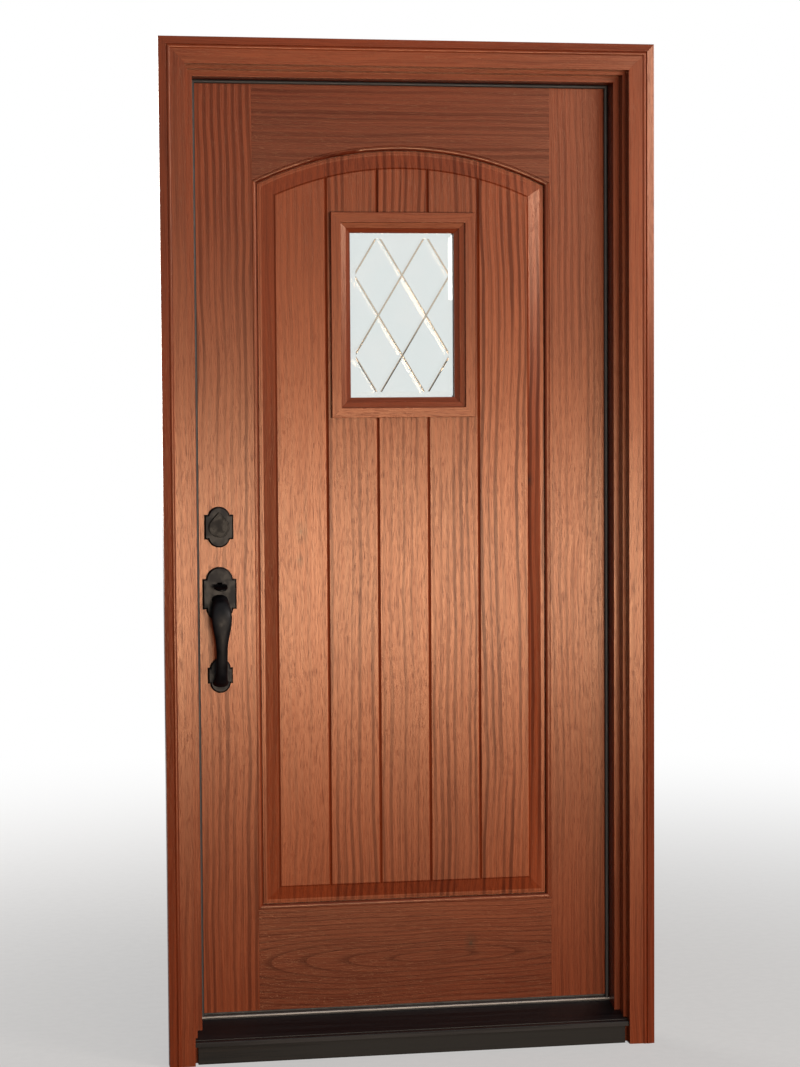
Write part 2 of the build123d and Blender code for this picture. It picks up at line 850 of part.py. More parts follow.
with BuildPart() as hinge_stile:
    stile_body(1)
    hinge_beds(half_leaf, leaf_thickness + margin, -hinge_plate, Mode.SUBTRACT)
    screws(leaf_screw_places, (-1, 0, 0), hinge_plate, screw_play, Mode.SUBTRACT)
keep(hinge_stile, "hinge_stile")

# Panel: planks with V-grooves between them, raised as one and cut out for the light
panel_side = seam_x + tongue_reach
panel_bottom = opening_bottom - tongue_reach
panel_corner = corner_z(-tongue_reach)
seams = [-1.5 * plank_pitch, -0.5 * plank_pitch, 0.5 * plank_pitch, 1.5 * plank_pitch]
cutout_half_width = light_width / 2 - lip_overlap
cutout_half_height = light_height / 2 - lip_overlap

with BuildPart() as panel:
    with BuildSketch(facing(0, leaf_thickness - field_depth, 0)):
        with BuildLine():
            Polyline(
                (-panel_side, panel_corner),
                (-panel_side, panel_bottom),
                (panel_side, panel_bottom),
                (panel_side, panel_corner),
            )
            ThreePointArc(
                (panel_side, panel_corner),
                (0, opening_top + tongue_reach),
                (-panel_side, panel_corner),
            )
        make_face()
    extrude(amount=leaf_thickness - 2 * field_depth)
    with BuildSketch(Plane.XY.offset(panel_bottom)):
        for face_y, inward in ((field_depth, 1), (leaf_thickness - field_depth, -1)):
            for seam in seams:
                with BuildLine():
                    Polyline(
                        (seam - v_half_width, face_y),
                        (seam, face_y + inward * v_depth),
                        (seam + v_half_width, face_y),
                        close=True,
                    )
                make_face()
    extrude(amount=leaf_height, mode=Mode.SUBTRACT)
    cut_along(panel_edge_waste, (-seam_x, 0, leaf_bottom), (0, 0, 1), leaf_height)
    cut_along(panel_edge_waste, (seam_x, 0, leaf_top), (0, 0, -1), leaf_height)
    cut_along(panel_edge_waste, (half_leaf, 0, opening_bottom), (-1, 0, 0), leaf_width)
    cut_round_arch(panel_edge_waste)
    with Locations((0, middle_y, light_z)):
        Box(2 * cutout_half_width, through, 2 * cutout_half_height, mode=Mode.SUBTRACT)


def plank(left, right, low=leaf_bottom, high=leaf_top):
    """A board of the panel between two seams, grooved on its left edge and tongued on its right."""
    with BuildPart() as board:
        add(panel.part)
        with BuildSketch(Plane.XY.offset(low)):
            with Locations(((left + right) / 2, middle_y)):
                Rectangle(right - left, through)
            if right < seams[-1] + margin:
                with Locations((right + plank_tongue / 2, middle_y)):
                    Rectangle(plank_tongue, plank_tongue_thickness)
            if left > seams[0] - margin:
                with Locations((left, middle_y)):
                    Rectangle(
                        2 * (plank_tongue + plank_play),
                        plank_tongue_thickness + 2 * plank_play,
                        mode=Mode.SUBTRACT,
                    )
        extrude(amount=high - low, mode=Mode.INTERSECT)
    return board


keep(plank(-panel_side, seams[0]), "plank_1")
keep(plank(seams[0], seams[1]), "plank_2")
keep(plank(seams[1], seams[2], low=light_z), "plank_3_upper")
keep(plank(seams[1], seams[2], high=light_z), "plank_3_lower")
keep(plank(seams[2], seams[3]), "plank_4")
keep(plank(seams[3], panel_side), "plank_5")

# Light: mitred mouldings on both faces hold a sealed unit of two panes
light_front_y = field_depth - light_proud
with BuildSketch() as light_section:
    with BuildLine():
        Polyline(
            (0, field_depth),
            (0, light_front_y),
            (lip_width, light_front_y),
            (lip_width, light_front_y + lip_wall),
            (band_end_at, light_front_y + lip_wall + band_fall),
            (band_end_at, light_front_y + lip_wall + band_fall + bead_fall),
            (sight_at, glass_front - bead_fall),
            (sight_at, glass_front),
            (lip_overlap + light_play, glass_front),
            (lip_overlap + light_play, field_depth),
            close=True,
        )
    make_face()
    fillet(light_section.vertices().group_by(Axis.Y)[0], radius=arris_radius)
with BuildSketch() as inner_light_section:
    mirror(light_section.sketch, about=Plane.XZ.offset(-middle_y))

light_x = light_width / 2
light_low = light_z - light_height / 2
light_high = light_z + light_height / 2
light_corners = {
    "left": ((-light_x, 0, light_low), (-light_x, 0, light_high)),
    "top": ((-light_x, 0, light_high), (light_x, 0, light_high)),
    "right": ((light_x, 0, light_high), (light_x, 0, light_low)),
    "bottom": ((light_x, 0, light_low), (-light_x, 0, light_low)),
}
for place, (start, end) in light_corners.items():
    keep(mitred_bar(light_section, start, end), f"light_outer_{place}")
    keep(mitred_bar(inner_light_section, start, end), f"light_inner_{place}")

glass_half_width = cutout_half_width - glass_edge_gap
glass_half_height = cutout_half_height - glass_edge_gap
sight_half_width = light_x - sight_at
sight_half_height = light_height / 2 - sight_at
glass_back = leaf_thickness - glass_front

with BuildPart() as engraving:
    line_length = light_height + light_width
    for number in (-3, -1, 1, 3):
        for lean in (-1, 1):
            along = Vector(lean * diamond_half_width, 0, diamond_half_height).normalized()
            centre = Vector(0, glass_front, light_z + number * diamond_half_height)
            section_plane = Plane(
                origin=centre - along * (line_length / 2),
                x_dir=Vector(0, 1, 0).cross(along),
                z_dir=along,
            )
            with BuildSketch(section_plane):
                with BuildLine():
                    Polyline(
                        (-engraving_width / 2, 0),
                        (0, engraving_depth),
                        (engraving_width / 2, 0),
                        close=True,
                    )
                make_face()
            extrude(amount=line_length)
    with Locations((0, glass_front, light_z)):
        Box(
            2 * (sight_half_width - glass_bevel),
            through,
            2 * (sight_half_height - glass_bevel),
            mode=Mode.INTERSECT,
        )

with BuildSketch() as bevel_section:
    with BuildLine():
        Polyline((0, -margin), (0, glass_bevel_fall), (glass_bevel, 0), (glass_bevel, -margin), close=True)
    make_face()
sight_corners = [
    Vector(side * sight_half_width, glass_front, light_z + rise * sight_half_height)
    for side, rise in ((-1, -1), (-1, 1), (1, 1), (1, -1))
]
bevel_bars = [
    mitred_bar(bevel_section, sight_corners[number - 1], sight_corners[number])
    for number in range(len(sight_corners))
]

with BuildPart() as glass_outer:
    block(
        (-glass_half_width, glass_front, light_z - glass_half_height),
        (glass_half_width, glass_front + pane_thickness, light_z + glass_half_height),
    )
    add([bar.part for bar in bevel_bars], mode=Mode.SUBTRACT)
    add(engraving.part, mode=Mode.SUBTRACT)
keep(glass_outer, "glass_outer")

with BuildPart() as glass_inner:
    block(
        (-glass_half_width, glass_back - pane_thickness, light_z - glass_half_height),
        (glass_half_width, glass_back, light_z + glass_half_height),
    )
keep(glass_inner, "glass_inner")

with BuildPart() as glass_spacer:
    block(
        (-glass_half_width, glass_front + pane_thickness, light_z - glass_half_height),
        (glass_half_width, glass_back - pane_thickness, light_z + glass_half_height),
    )
    with Locations((0, middle_y, light_z)):
        Box(
            2 * (glass_half_width - spacer_width),
            through,
            2 * (glass_half_height - spacer_width),
            mode=Mode.SUBTRACT,
        )
keep(glass_spacer, "glass_spacer")

# Door sweep: a strip with hanging fins under the leaf
with BuildPart() as door_sweep:
    sweep_y = middle_y - sweep_depth / 2
    fin_pitch = (sweep_depth - fin_width) / (fin_count - 1)
    block((-half_leaf, sweep_y, leaf_bottom - sweep_top), (half_leaf, sweep_y + sweep_depth, leaf_bottom))
    for number in range(fin_count):
        fin_y = sweep_y + number * fin_pitch
        block((-half_leaf, fin_y, leaf_bottom - sweep_height), (half_leaf, fin_y + fin_width, leaf_bottom))
keep(door_sweep, "door_sweep")

# Bolts: a case in each edge bore, a plate over its mouth and a bolt that slides in it
seat = (Align.CENTER, Align.CENTER, Align.MIN)
face_x = -half_leaf + face_plate_thickness


def across_leaf(y, z, x=lock_x):
    """A place on a lock's cross axis, or beside it, with Z into the building."""
    return Plane(origin=(x, y, z), x_dir=(1, 0, 0), z_dir=(0, 1, 0))


def bolt_case(z, bolt_size):
    """The tube that guides a bolt, crossed by the hole for the shaft that works it."""
    with BuildPart() as case:
        with Locations(Plane(origin=(face_x, middle_y, z), z_dir=(1, 0, 0))):
            Cylinder(case_radius, case_reach - face_plate_thickness, align=seat)
            Cylinder(math.hypot(*bolt_size) / 2 + bolt_play, through, align=seat, mode=Mode.SUBTRACT)
        with Locations(across_leaf(middle_y, z)):
            Cylinder(case_hole_radius, through, mode=Mode.SUBTRACT)
    return case


keep(bolt_case(deadbolt_z, deadbolt_size), "deadbolt_case")
keep(bolt_case(latch_z, latch_size), "latch_case")

with BuildPart() as face_plates:
    for z, size in ((deadbolt_z, deadbolt_size), (latch_z, latch_size)):
        with Locations((-half_leaf + face_plate_thickness / 2, middle_y, z)):
            Box(face_plate_thickness, face_plate_width, face_plate_height)
            Box(
                2 * face_plate_thickness,
                size[0] + 2 * bolt_play,
                size[1] + 2 * bolt_play,
                mode=Mode.SUBTRACT,
            )
    screws(face_screw_places, (1, 0, 0), face_plate_thickness, screw_play, Mode.SUBTRACT)
keep(face_plates, "face_plates")

with BuildPart() as face_plate_screws:
    screws(face_screw_places, (1, 0, 0), face_plate_thickness)
keep(face_plate_screws, "face_plate_screws")

with BuildPart() as deadbolt:
    block(
        (-half_leaf + bolt_recess, middle_y - deadbolt_size[0] / 2, deadbolt_z - deadbolt_size[1] / 2),
        (
            -half_leaf + bolt_recess + deadbolt_length,
            middle_y + deadbolt_size[0] / 2,
            deadbolt_z + deadbolt_size[1] / 2,
        ),
    )
    chamfer(deadbolt.faces().sort_by(Axis.X)[0].edges(), length=margin)
keep(deadbolt, "deadbolt")

latch_front_x = -half_leaf + bolt_recess
with BuildPart() as latch_bolt:
    with BuildSketch(Plane.XY.offset(latch_z - latch_size[1] / 2)):
        with BuildLine():
            Polyline(
                (latch_front_x, middle_y + latch_size[0] / 2),
                (latch_front_x, middle_y + latch_size[0] / 2 - latch_tip),
                (latch_front_x + latch_size[0] - latch_tip, middle_y - latch_size[0] / 2),
                (latch_front_x + latch_length, middle_y - latch_size[0] / 2),
                (latch_front_x + latch_length, middle_y + latch_size[0] / 2),
                close=True,
            )
        make_face()
    extrude(amount=latch_size[1])
keep(latch_bolt, "latch_bolt")


# Two bolts hold the trim on each cross bore: above and below the deadbolt, and side by side under the latch
deadbolt_bolt_spots = [
    (lock_x, deadbolt_z - through_bolt_offset),
    (lock_x, deadbolt_z + through_bolt_offset),
]
latch_bolt_spots = [
    (lock_x - through_bolt_spread, latch_z - through_bolt_offset),
    (lock_x + through_bolt_spread, latch_z - through_bolt_offset),
]


# Outside plates: straight sides, square shoulders and an arch at each end
def shouldered_plate(x, z, size):
    """A plate on the leaf's outer face, in the current part."""
    width, straight, chord, rise = size
    with BuildSketch(facing(x, 0, z)) as outline:
        Rectangle(width, straight)
        for end in (-1, 1):
            foot = end * straight / 2
            with BuildLine():
                ThreePointArc((-chord / 2, foot), (0, foot + end * rise), (chord / 2, foot))
                Line((chord / 2, foot), (-chord / 2, foot))
            make_face()
    extrude(outline.sketch, amount=plate_thickness)


with BuildPart() as deadbolt_plate:
    shouldered_plate(lock_x, deadbolt_z, deadbolt_plate_size)
    chamfer(deadbolt_plate.faces().sort_by(Axis.Y)[0].edges(), length=plate_chamfer)
    with Locations(across_leaf(-plate_thickness / 2, deadbolt_z)):
        Cylinder(plug_radius + turn_play, through, mode=Mode.SUBTRACT)
    with Locations(facing(lock_x, -plate_thickness, deadbolt_z + cover_pivot)):
        Cylinder(stud_boss_radius, plug_front, align=seat)
        Cylinder(
            stud_radius,
            plug_front + 2 * cover_gap + cover_thickness + stud_head_height,
            align=seat,
        )
    stud_head_y = -plate_thickness - plug_front - 2 * cover_gap - cover_thickness
    with Locations(facing(lock_x, stud_head_y, deadbolt_z + cover_pivot)):
        Cylinder(stud_head_radius, stud_head_height, align=seat)
keep(deadbolt_plate, "deadbolt_plate")


cover_y = -plate_thickness - plug_front - cover_gap
with BuildPart() as key_cover:
    with BuildSketch(facing(lock_x, cover_y, deadbolt_z)) as cover_outline:
        Circle(cover_radius)
        with Locations((0, cover_tip - cover_tip_radius)):
            Circle(cover_tip_radius)
        make_hull()
    extrude(amount=cover_thickness + cover_rim_height)
    rim_face = key_cover.faces().sort_by(Axis.Y)[0]
    chamfer(rim_face.edges(), length=cover_rim_height / 2)
    with BuildSketch(facing(lock_x, cover_y - cover_thickness, deadbolt_z)):
        add(cover_outline.sketch_local)
        offset(amount=-cover_rim, mode=Mode.REPLACE)
    extrude(amount=through, mode=Mode.SUBTRACT)
    with Locations(facing(lock_x, cover_y, deadbolt_z + cover_pivot)):
        Cylinder(stud_radius + turn_play, through, mode=Mode.SUBTRACT)
keep(key_cover, "key_cover")

with BuildPart() as deadbolt_cylinder:
    with Locations(across_leaf(0, deadbolt_z)):
        Cylinder(cylinder_radius, cylinder_depth, align=seat)
        Cylinder(plug_radius + turn_play, through, mode=Mode.SUBTRACT)
    with Locations(*[across_leaf(cylinder_depth, z, x) for x, z in deadbolt_bolt_spots]):
        Cylinder(through_bolt_radius + screw_play, 2 * through_bolt_engagement, mode=Mode.SUBTRACT)
keep(deadbolt_cylinder, "deadbolt_cylinder")

with BuildPart() as key_plug:
    with Locations(across_leaf(-plate_thickness - plug_front, deadbolt_z)):
        Cylinder(plug_radius, plate_thickness + plug_front + cylinder_depth, align=seat)
        Box(keyway_width, keyway_height, 2 * cylinder_depth, mode=Mode.SUBTRACT)
keep(key_plug, "key_plug")

# Inside trim: a rose over each cross bore, the deadbolt's turn and the latch's knob
through_bolt_start = cylinder_depth - through_bolt_engagement
rose_face_y = leaf_thickness + rose_thickness


def rose(z, shaft_radius, bolt_spots):
    """A round plate on the inner face, with a hole for a shaft and counterbored holes for two bolts."""
    with BuildPart() as plate:
        with Locations(across_leaf(leaf_thickness, z)):
            Cylinder(rose_radius, rose_thickness, align=seat)
        chamfer(plate.faces().sort_by(Axis.Y)[-1].edges(), length=rose_chamfer)
        with Locations(across_leaf(middle_y, z)):
            Cylinder(shaft_radius + turn_play, 2 * through, mode=Mode.SUBTRACT)
        with Locations(*[across_leaf(rose_face_y, spot_z, x) for x, spot_z in bolt_spots]):
            Cylinder(through_bolt_radius + screw_play, 2 * rose_thickness, mode=Mode.SUBTRACT)
            Cylinder(screw_head_radius + screw_play, rose_thickness, mode=Mode.SUBTRACT)
    return plate


keep(rose(deadbolt_z, turn_shaft_radius, deadbolt_bolt_spots), "deadbolt_rose")
keep(rose(latch_z, knob_neck_radius, latch_bolt_spots), "latch_rose")

bolt_head_y = leaf_thickness + rose_thickness / 2
with BuildPart() as through_bolts:
    bolt_spots = deadbolt_bolt_spots + latch_bolt_spots
    with Locations(*[across_leaf(through_bolt_start, z, x) for x, z in bolt_spots]):
        Cylinder(through_bolt_radius, bolt_head_y - through_bolt_start, align=seat)
    with Locations(*[across_leaf(bolt_head_y, z, x) for x, z in bolt_spots]):
        Cylinder(screw_head_radius, through_bolt_radius, align=seat)
keep(through_bolts, "through_bolts")

with BuildPart() as thumb_turn:
    with Locations(across_leaf(cylinder_depth + cover_gap, deadbolt_z)):
        Cylinder(tail_radius, leaf_thickness - cylinder_depth, align=seat)
    with Locations(across_leaf(leaf_thickness, deadbolt_z)):
        Cylinder(turn_shaft_radius, rose_thickness + turn_hub_height, align=seat)
    with Locations(across_leaf(rose_face_y + cover_gap, deadbolt_z)):
        Cylinder(turn_hub_radius, turn_hub_height, align=seat)
    with BuildSketch(across_leaf(rose_face_y + cover_gap + turn_hub_height, deadbolt_z)):
        SlotOverall(turn_wing[0], turn_wing[1], rotation=90)
    extrude(amount=turn_wing[2])
    fillet(thumb_turn.faces().sort_by(Axis.Y)[-1].edges(), radius=arris_radius)
keep(thumb_turn, "thumb_turn")

with BuildPart() as knob:
    with Locations(across_leaf(cover_gap, latch_z)):
        Cylinder(spindle_radius, leaf_thickness, align=seat)
    with Locations(across_leaf(leaf_thickness, latch_z)):
        Cylinder(knob_neck_radius, rose_thickness + knob_neck + margin, align=seat)
    with BuildSketch(Plane.YZ.offset(lock_x)):
        knob_y = rose_face_y + knob_neck
        knob_waist = (knob_y + knob_depth / 2, latch_z + knob_radius)
        knob_rim = (knob_y + knob_depth - knob_crown, latch_z + knob_face_radius)
        with BuildLine():
            TangentArc(knob_waist, (knob_y, latch_z + knob_neck_radius), tangent=(-1, 0))
            TangentArc(knob_waist, knob_rim, tangent=(1, 0))
            TangentArc((knob_y + knob_depth, latch_z), knob_rim, tangent=(0, 1))
            Polyline(
                (knob_y + knob_depth, latch_z),
                (knob_y, latch_z),
                (knob_y, latch_z + knob_neck_radius),
            )
        make_face()
    revolve(axis=Axis((lock_x, 0, latch_z), (0, 1, 0)))
keep(knob, "knob")

# Handle set outside: upper plate, thumb piece, grip and foot plate
with BuildPart() as handle_plate:
    shouldered_plate(lock_x, handle_plate_z, handle_plate_size)
    chamfer(handle_plate.faces().sort_by(Axis.Y)[0].edges(), length=plate_chamfer)
    with Locations(*[across_leaf(0, z, x) for x, z in latch_bolt_spots]):
        Cylinder(through_bolt_post, cylinder_depth, align=seat)
    with Locations(*[across_leaf(cylinder_depth, z, x) for x, z in latch_bolt_spots]):
        Cylinder(through_bolt_radius + screw_play, 2 * through_bolt_engagement, mode=Mode.SUBTRACT)
    with Locations((lock_x, 0, thumb_pivot_z)):
        Box(thumb_slot[0], through, thumb_slot[1], mode=Mode.SUBTRACT)
keep(handle_plate, "handle_plate")

with BuildPart() as foot_plate:
    shouldered_plate(lock_x, foot_plate_z, foot_plate_size)
    chamfer(foot_plate.faces().sort_by(Axis.Y)[0].edges(), length=plate_chamfer)
keep(foot_plate, "foot_plate")

with BuildPart() as grip:
    for y, rise, (tangent_y, tangent_z), width, thickness in grip_stations:
        station = (lock_x, y, latch_z + rise)
        with BuildSketch(Plane(origin=station, x_dir=(1, 0, 0), z_dir=(0, tangent_y, tangent_z))):
            Ellipse(width / 2, thickness / 2)
    loft()
keep(grip, "grip")

pad_start_y = -plate_thickness - cover_gap
with BuildPart() as thumb_piece:
    with BuildSketch(Plane.YZ.offset(lock_x)):
        with BuildLine():
            top = thumb_pivot_z + thumb_thickness / 2
            Line((pad_start_y, top - thumb_thickness), (pad_start_y, top))
            ThreePointArc(
                (pad_start_y, top),
                (pad_start_y - 0.55 * thumb_reach, top - 0.2 * thumb_drop),
                (pad_start_y - thumb_reach, top - thumb_drop),
            )
            Line(
                (pad_start_y - thumb_reach, top - thumb_drop),
                (pad_start_y - thumb_reach, top - thumb_drop - thumb_thickness),
            )
            ThreePointArc(
                (pad_start_y - thumb_reach, top - thumb_drop - thumb_thickness),
                (pad_start_y - 0.55 * thumb_reach, top - 0.2 * thumb_drop - thumb_thickness),
                (pad_start_y, top - thumb_thickness),
            )
        make_face()
    extrude(amount=thumb_width / 2, both=True)
    with BuildSketch(Plane.XY.offset(thumb_pivot_z)):
        with BuildLine():
            Polyline(
                (lock_x - thumb_arm_width / 2, pad_start_y),
                (lock_x - thumb_width / 2, pad_start_y - 0.35 * thumb_reach),
                (lock_x - thumb_width / 2, pad_start_y - 0.65 * thumb_reach),
            )
            ThreePointArc(
                (lock_x - thumb_width / 2, pad_start_y - 0.65 * thumb_reach),
                (lock_x, pad_start_y - thumb_reach),
                (lock_x + thumb_width / 2, pad_start_y - 0.65 * thumb_reach),
            )
            Polyline(
                (lock_x + thumb_width / 2, pad_start_y - 0.65 * thumb_reach),
                (lock_x + thumb_width / 2, pad_start_y - 0.35 * thumb_reach),
                (lock_x + thumb_arm_width / 2, pad_start_y),
                (lock_x - thumb_arm_width / 2, pad_start_y),
            )
        make_face()
    extrude(amount=thumb_width, both=True, mode=Mode.INTERSECT)
    block(
        (lock_x - thumb_arm_width / 2, pad_start_y - margin, thumb_pivot_z - thumb_thickness / 2),
        (lock_x + thumb_arm_width / 2, thumb_inside, thumb_pivot_z + thumb_thickness / 2),
    )
    with Locations(Plane(origin=(lock_x, thumb_pivot_y, thumb_pivot_z), z_dir=(1, 0, 0))):
        Cylinder(thumb_hub_radius, thumb_arm_width)
keep(thumb_piece, "thumb_piece")
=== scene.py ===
# %% [markdown]
# An arched entry door in its frame
#
# The door is sapele, a red-brown timber whose cut surface shows bands that turn from orange to
# grey-brown as the light moves. It is varnished to a satin shine. The lock set is black, the sill
# is dark bronze and the small light holds bevelled glass.
#
# The solids arrive as a fixed frame, already at their real size. This lesson gives each surface its
# finish, and makes the screws, which are too fine for the solids. Everything is in metres, with X to
# the right as seen from outside, Y into the building and Z up.

# %% Load the frame
import math

import bmesh
import bpy
from mathutils import Euler, Matrix, Vector


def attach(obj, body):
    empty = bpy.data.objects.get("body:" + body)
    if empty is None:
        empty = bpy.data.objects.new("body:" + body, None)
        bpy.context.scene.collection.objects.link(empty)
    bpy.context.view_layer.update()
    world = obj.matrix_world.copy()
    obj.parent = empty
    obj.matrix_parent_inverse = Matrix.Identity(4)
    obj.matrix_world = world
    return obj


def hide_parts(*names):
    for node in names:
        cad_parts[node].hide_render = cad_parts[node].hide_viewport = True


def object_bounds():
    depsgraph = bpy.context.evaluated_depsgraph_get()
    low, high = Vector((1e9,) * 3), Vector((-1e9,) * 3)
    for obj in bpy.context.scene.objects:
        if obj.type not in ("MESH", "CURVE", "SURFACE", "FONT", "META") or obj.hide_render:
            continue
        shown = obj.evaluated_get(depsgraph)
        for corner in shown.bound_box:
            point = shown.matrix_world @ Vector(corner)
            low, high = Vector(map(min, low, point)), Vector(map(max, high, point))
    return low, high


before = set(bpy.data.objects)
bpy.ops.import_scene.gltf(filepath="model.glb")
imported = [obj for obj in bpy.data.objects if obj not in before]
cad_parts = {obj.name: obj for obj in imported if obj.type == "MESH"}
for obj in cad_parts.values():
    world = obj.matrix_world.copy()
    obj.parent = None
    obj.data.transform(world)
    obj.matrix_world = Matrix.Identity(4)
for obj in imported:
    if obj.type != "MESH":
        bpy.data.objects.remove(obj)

cad_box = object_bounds()
scene = bpy.context.scene
print("The solids measure", [round(high - low, 4) for low, high in zip(*cad_box)], "m")

# %% [markdown]
# The camera
#
# Straight edges of the door gave the place and the angle of the camera that took the photograph. A
# photograph has a focal length in pixels, and a camera here has one in millimetres of sensor, so the
# one is turned into the other by the picture's height.

# %% Camera
photo_width, photo_height = 800, 1067
focal_pixels = 2483.76
sensor_size = 36.0
camera_place = Vector((-0.908242, -5.219185, 1.403740))
camera_yaw, camera_pitch, camera_roll = 0.170586, -0.056976, 0.0063851


def camera_axes(yaw, pitch, roll):
    """Right, down and forward of a camera that is turned, tilted and then rolled."""
    reach = math.cos(pitch)
    forward = Vector((math.sin(yaw) * reach, math.cos(yaw) * reach, math.sin(pitch)))
    level = Vector((math.cos(yaw), -math.sin(yaw), 0.0))
    drop = forward.cross(level)
    right = math.cos(roll) * level + math.sin(roll) * drop
    down = -math.sin(roll) * level + math.cos(roll) * drop
    return right, down, forward


right, down, forward = camera_axes(camera_yaw, camera_pitch, camera_roll)
turn = Matrix((right, -down, -forward)).transposed()
camera = bpy.data.objects.new("camera", bpy.data.cameras.new("camera"))
camera.data.sensor_width = sensor_size
camera.data.lens = focal_pixels / photo_height * sensor_size
camera.matrix_world = Matrix.Translation(camera_place) @ turn.to_4x4()
scene.collection.objects.link(camera)
scene.camera = camera
print("Lens", round(camera.data.lens, 2), "mm")


def on_plane(pixel, plane_y=0.0):
    """The point of an upright plane that the photograph shows at a pixel."""
    across = (pixel[0] - photo_width / 2) / focal_pixels
    below = (pixel[1] - photo_height / 2) / focal_pixels
    ray = forward + across * right + below * down
    return camera_place + ray * ((plane_y - camera_place.y) / ray.y)


# %% [markdown]
# Helpers for node trees
#
# A material is a small network. Two helpers do most of the work: one makes a group with named
# sockets, and one puts a node in a tree and links or sets its sockets in the same line. The others
# put in what is needed most often, such as a sum, a blend of colours or noise.

# %% Helpers for node trees
def new_group(name, inputs, outputs):
    """A shader group with named sockets, and the nodes that stand for its inputs and outputs."""
    group = bpy.data.node_groups.new(name, "ShaderNodeTree")
    for in_out, sockets in (("INPUT", inputs), ("OUTPUT", outputs)):
        for label, kind in sockets:
            group.interface.new_socket(label, in_out=in_out, socket_type="NodeSocket" + kind)
    return group, group.nodes.new("NodeGroupInput").outputs, group.nodes.new("NodeGroupOutput").inputs


def put(tree, kind, sockets=None, **settings):
    """A node in a tree, with its settings, and its sockets linked or set."""
    made = tree.nodes.new(kind)
    for name, value in settings.items():
        setattr(made, name, value)
    for name, value in (sockets or {}).items():
        if isinstance(value, bpy.types.NodeSocket):
            tree.links.new(value, made.inputs[name])
        else:
            made.inputs[name].default_value = value
    return made


def maths(tree, operation, first, second=0.0):
    """The value of one sum."""
    return put(tree, "ShaderNodeMath", {0: first, 1: second}, operation=operation).outputs[0]


def vector_maths(tree, operation, sockets, output=0):
    """The result of one sum of vectors."""
    return put(tree, "ShaderNodeVectorMath", sockets, operation=operation).outputs[output]


def remap(tree, value, low, high, to_low=0.0, to_high=1.0):
    """A value brought smoothly from one range to another, and kept in it."""
    sockets = {"Value": value, "From Min": low, "From Max": high, "To Min": to_low, "To Max": to_high}
    return put(tree, "ShaderNodeMapRange", sockets, interpolation_type="SMOOTHSTEP").outputs["Result"]


def blend_colours(tree, share, first, second):
    """One colour turning into another."""
    return put(tree, "ShaderNodeMix", {0: share, 6: first, 7: second}, data_type="RGBA").outputs[2]


def stretched(tree, vector, along):
    """Coordinates drawn out along the grain, which runs along Z."""
    return vector_maths(tree, "MULTIPLY", {0: vector, 1: (1.0, 0.5, along)})


def noise(tree, vector, scale, detail=2.0, distortion=0.0):
    """Soft random patches, so many to the metre."""
    sockets = {"Vector": vector, "Scale": scale, "Detail": detail, "Distortion": distortion}
    return put(tree, "ShaderNodeTexNoise", sockets).outputs["Fac"]


def new_material(name):
    """A material with its tree, its shader and the object's own coordinates."""
    material = bpy.data.materials.new(name)
    material.use_nodes = True
    tree = material.node_tree
    coordinates = tree.nodes.new("ShaderNodeTexCoord").outputs["Object"]
    return material, tree, tree.nodes["Principled BSDF"], coordinates


def dress(node, material):
    """Gives a solid its finish."""
    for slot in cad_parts[node].material_slots:
        slot.material = material


print("Helpers ready")

# %% [markdown]
# Ribbon grain
#
# Sapele grows with its fibres leaning one way and then the other, so a sawn board shows bands, here
# about 15 mm from one to the next, that fade in and out along it. Under them lie fine fibres and
# short dark pores. A board sawn flat, along the rings, shows nested lines instead.
#
# An image would repeat and would need a seam somewhere. Patterns in three dimensions need neither,
# and run through a board from face to edge as real grain does. The bands are sine waves across the
# board, pushed aside and faded by noise, because noise alone gives patches of any width. The nested
# lines come from the distance to the pith, the middle of the trunk. One group makes all of it, and
# each board gives it its own colours, strengths and place.

# %% Ribbon grain group
band_width, band_wobble = 0.0150, 0.016
band_scale, band_stretch = 60.0, 0.014
wobble_scale, wobble_stretch = 16.0, 0.07
flame_scale, flame_stretch = 6.0, 0.22
fibre_scale, fibre_stretch = 420.0, 0.012
pore_scale, pore_stretch = 1300.0, 0.03
tone_scale, tone_stretch = 4.0, 0.3
ring_count, ring_stretch = 95.0, 0.11
wander_scale, wander_reach = 2.4, 0.03
ring_unevenness = 0.03
warm_tone, warm_fibres = 0.55, 0.45
dark_pores, dark_rings = 0.38, 0.55
satin_ground, satin_fibres, satin_pores = 0.25, 0.07, 0.16
raised_fibres = 0.35
plain_shine, dark_shine = 0.46, 0.16
noise_middle = (0.5, 0.5, 0.5)

ribbon_grain, given, result = new_group(
    "ribbon_grain",
    [("Vector", "Vector"), ("Light", "Color"), ("Middle", "Color"), ("Dark", "Color"),
     ("Ribbon", "Float"), ("Rings", "Float"), ("Pith", "Vector")],
    [("Color", "Color"), ("Roughness", "Float"), ("Height", "Float"), ("Shine", "Float")],
)
tree = ribbon_grain
wander_noise = {"Vector": given["Vector"], "Scale": wander_scale}
wander = put(tree, "ShaderNodeTexNoise", wander_noise).outputs["Color"]
centred = vector_maths(tree, "SUBTRACT", {0: wander, 1: noise_middle})
reach = vector_maths(tree, "SCALE", {0: centred, "Scale": wander_reach})
path = vector_maths(tree, "ADD", {0: given["Vector"], 1: reach})

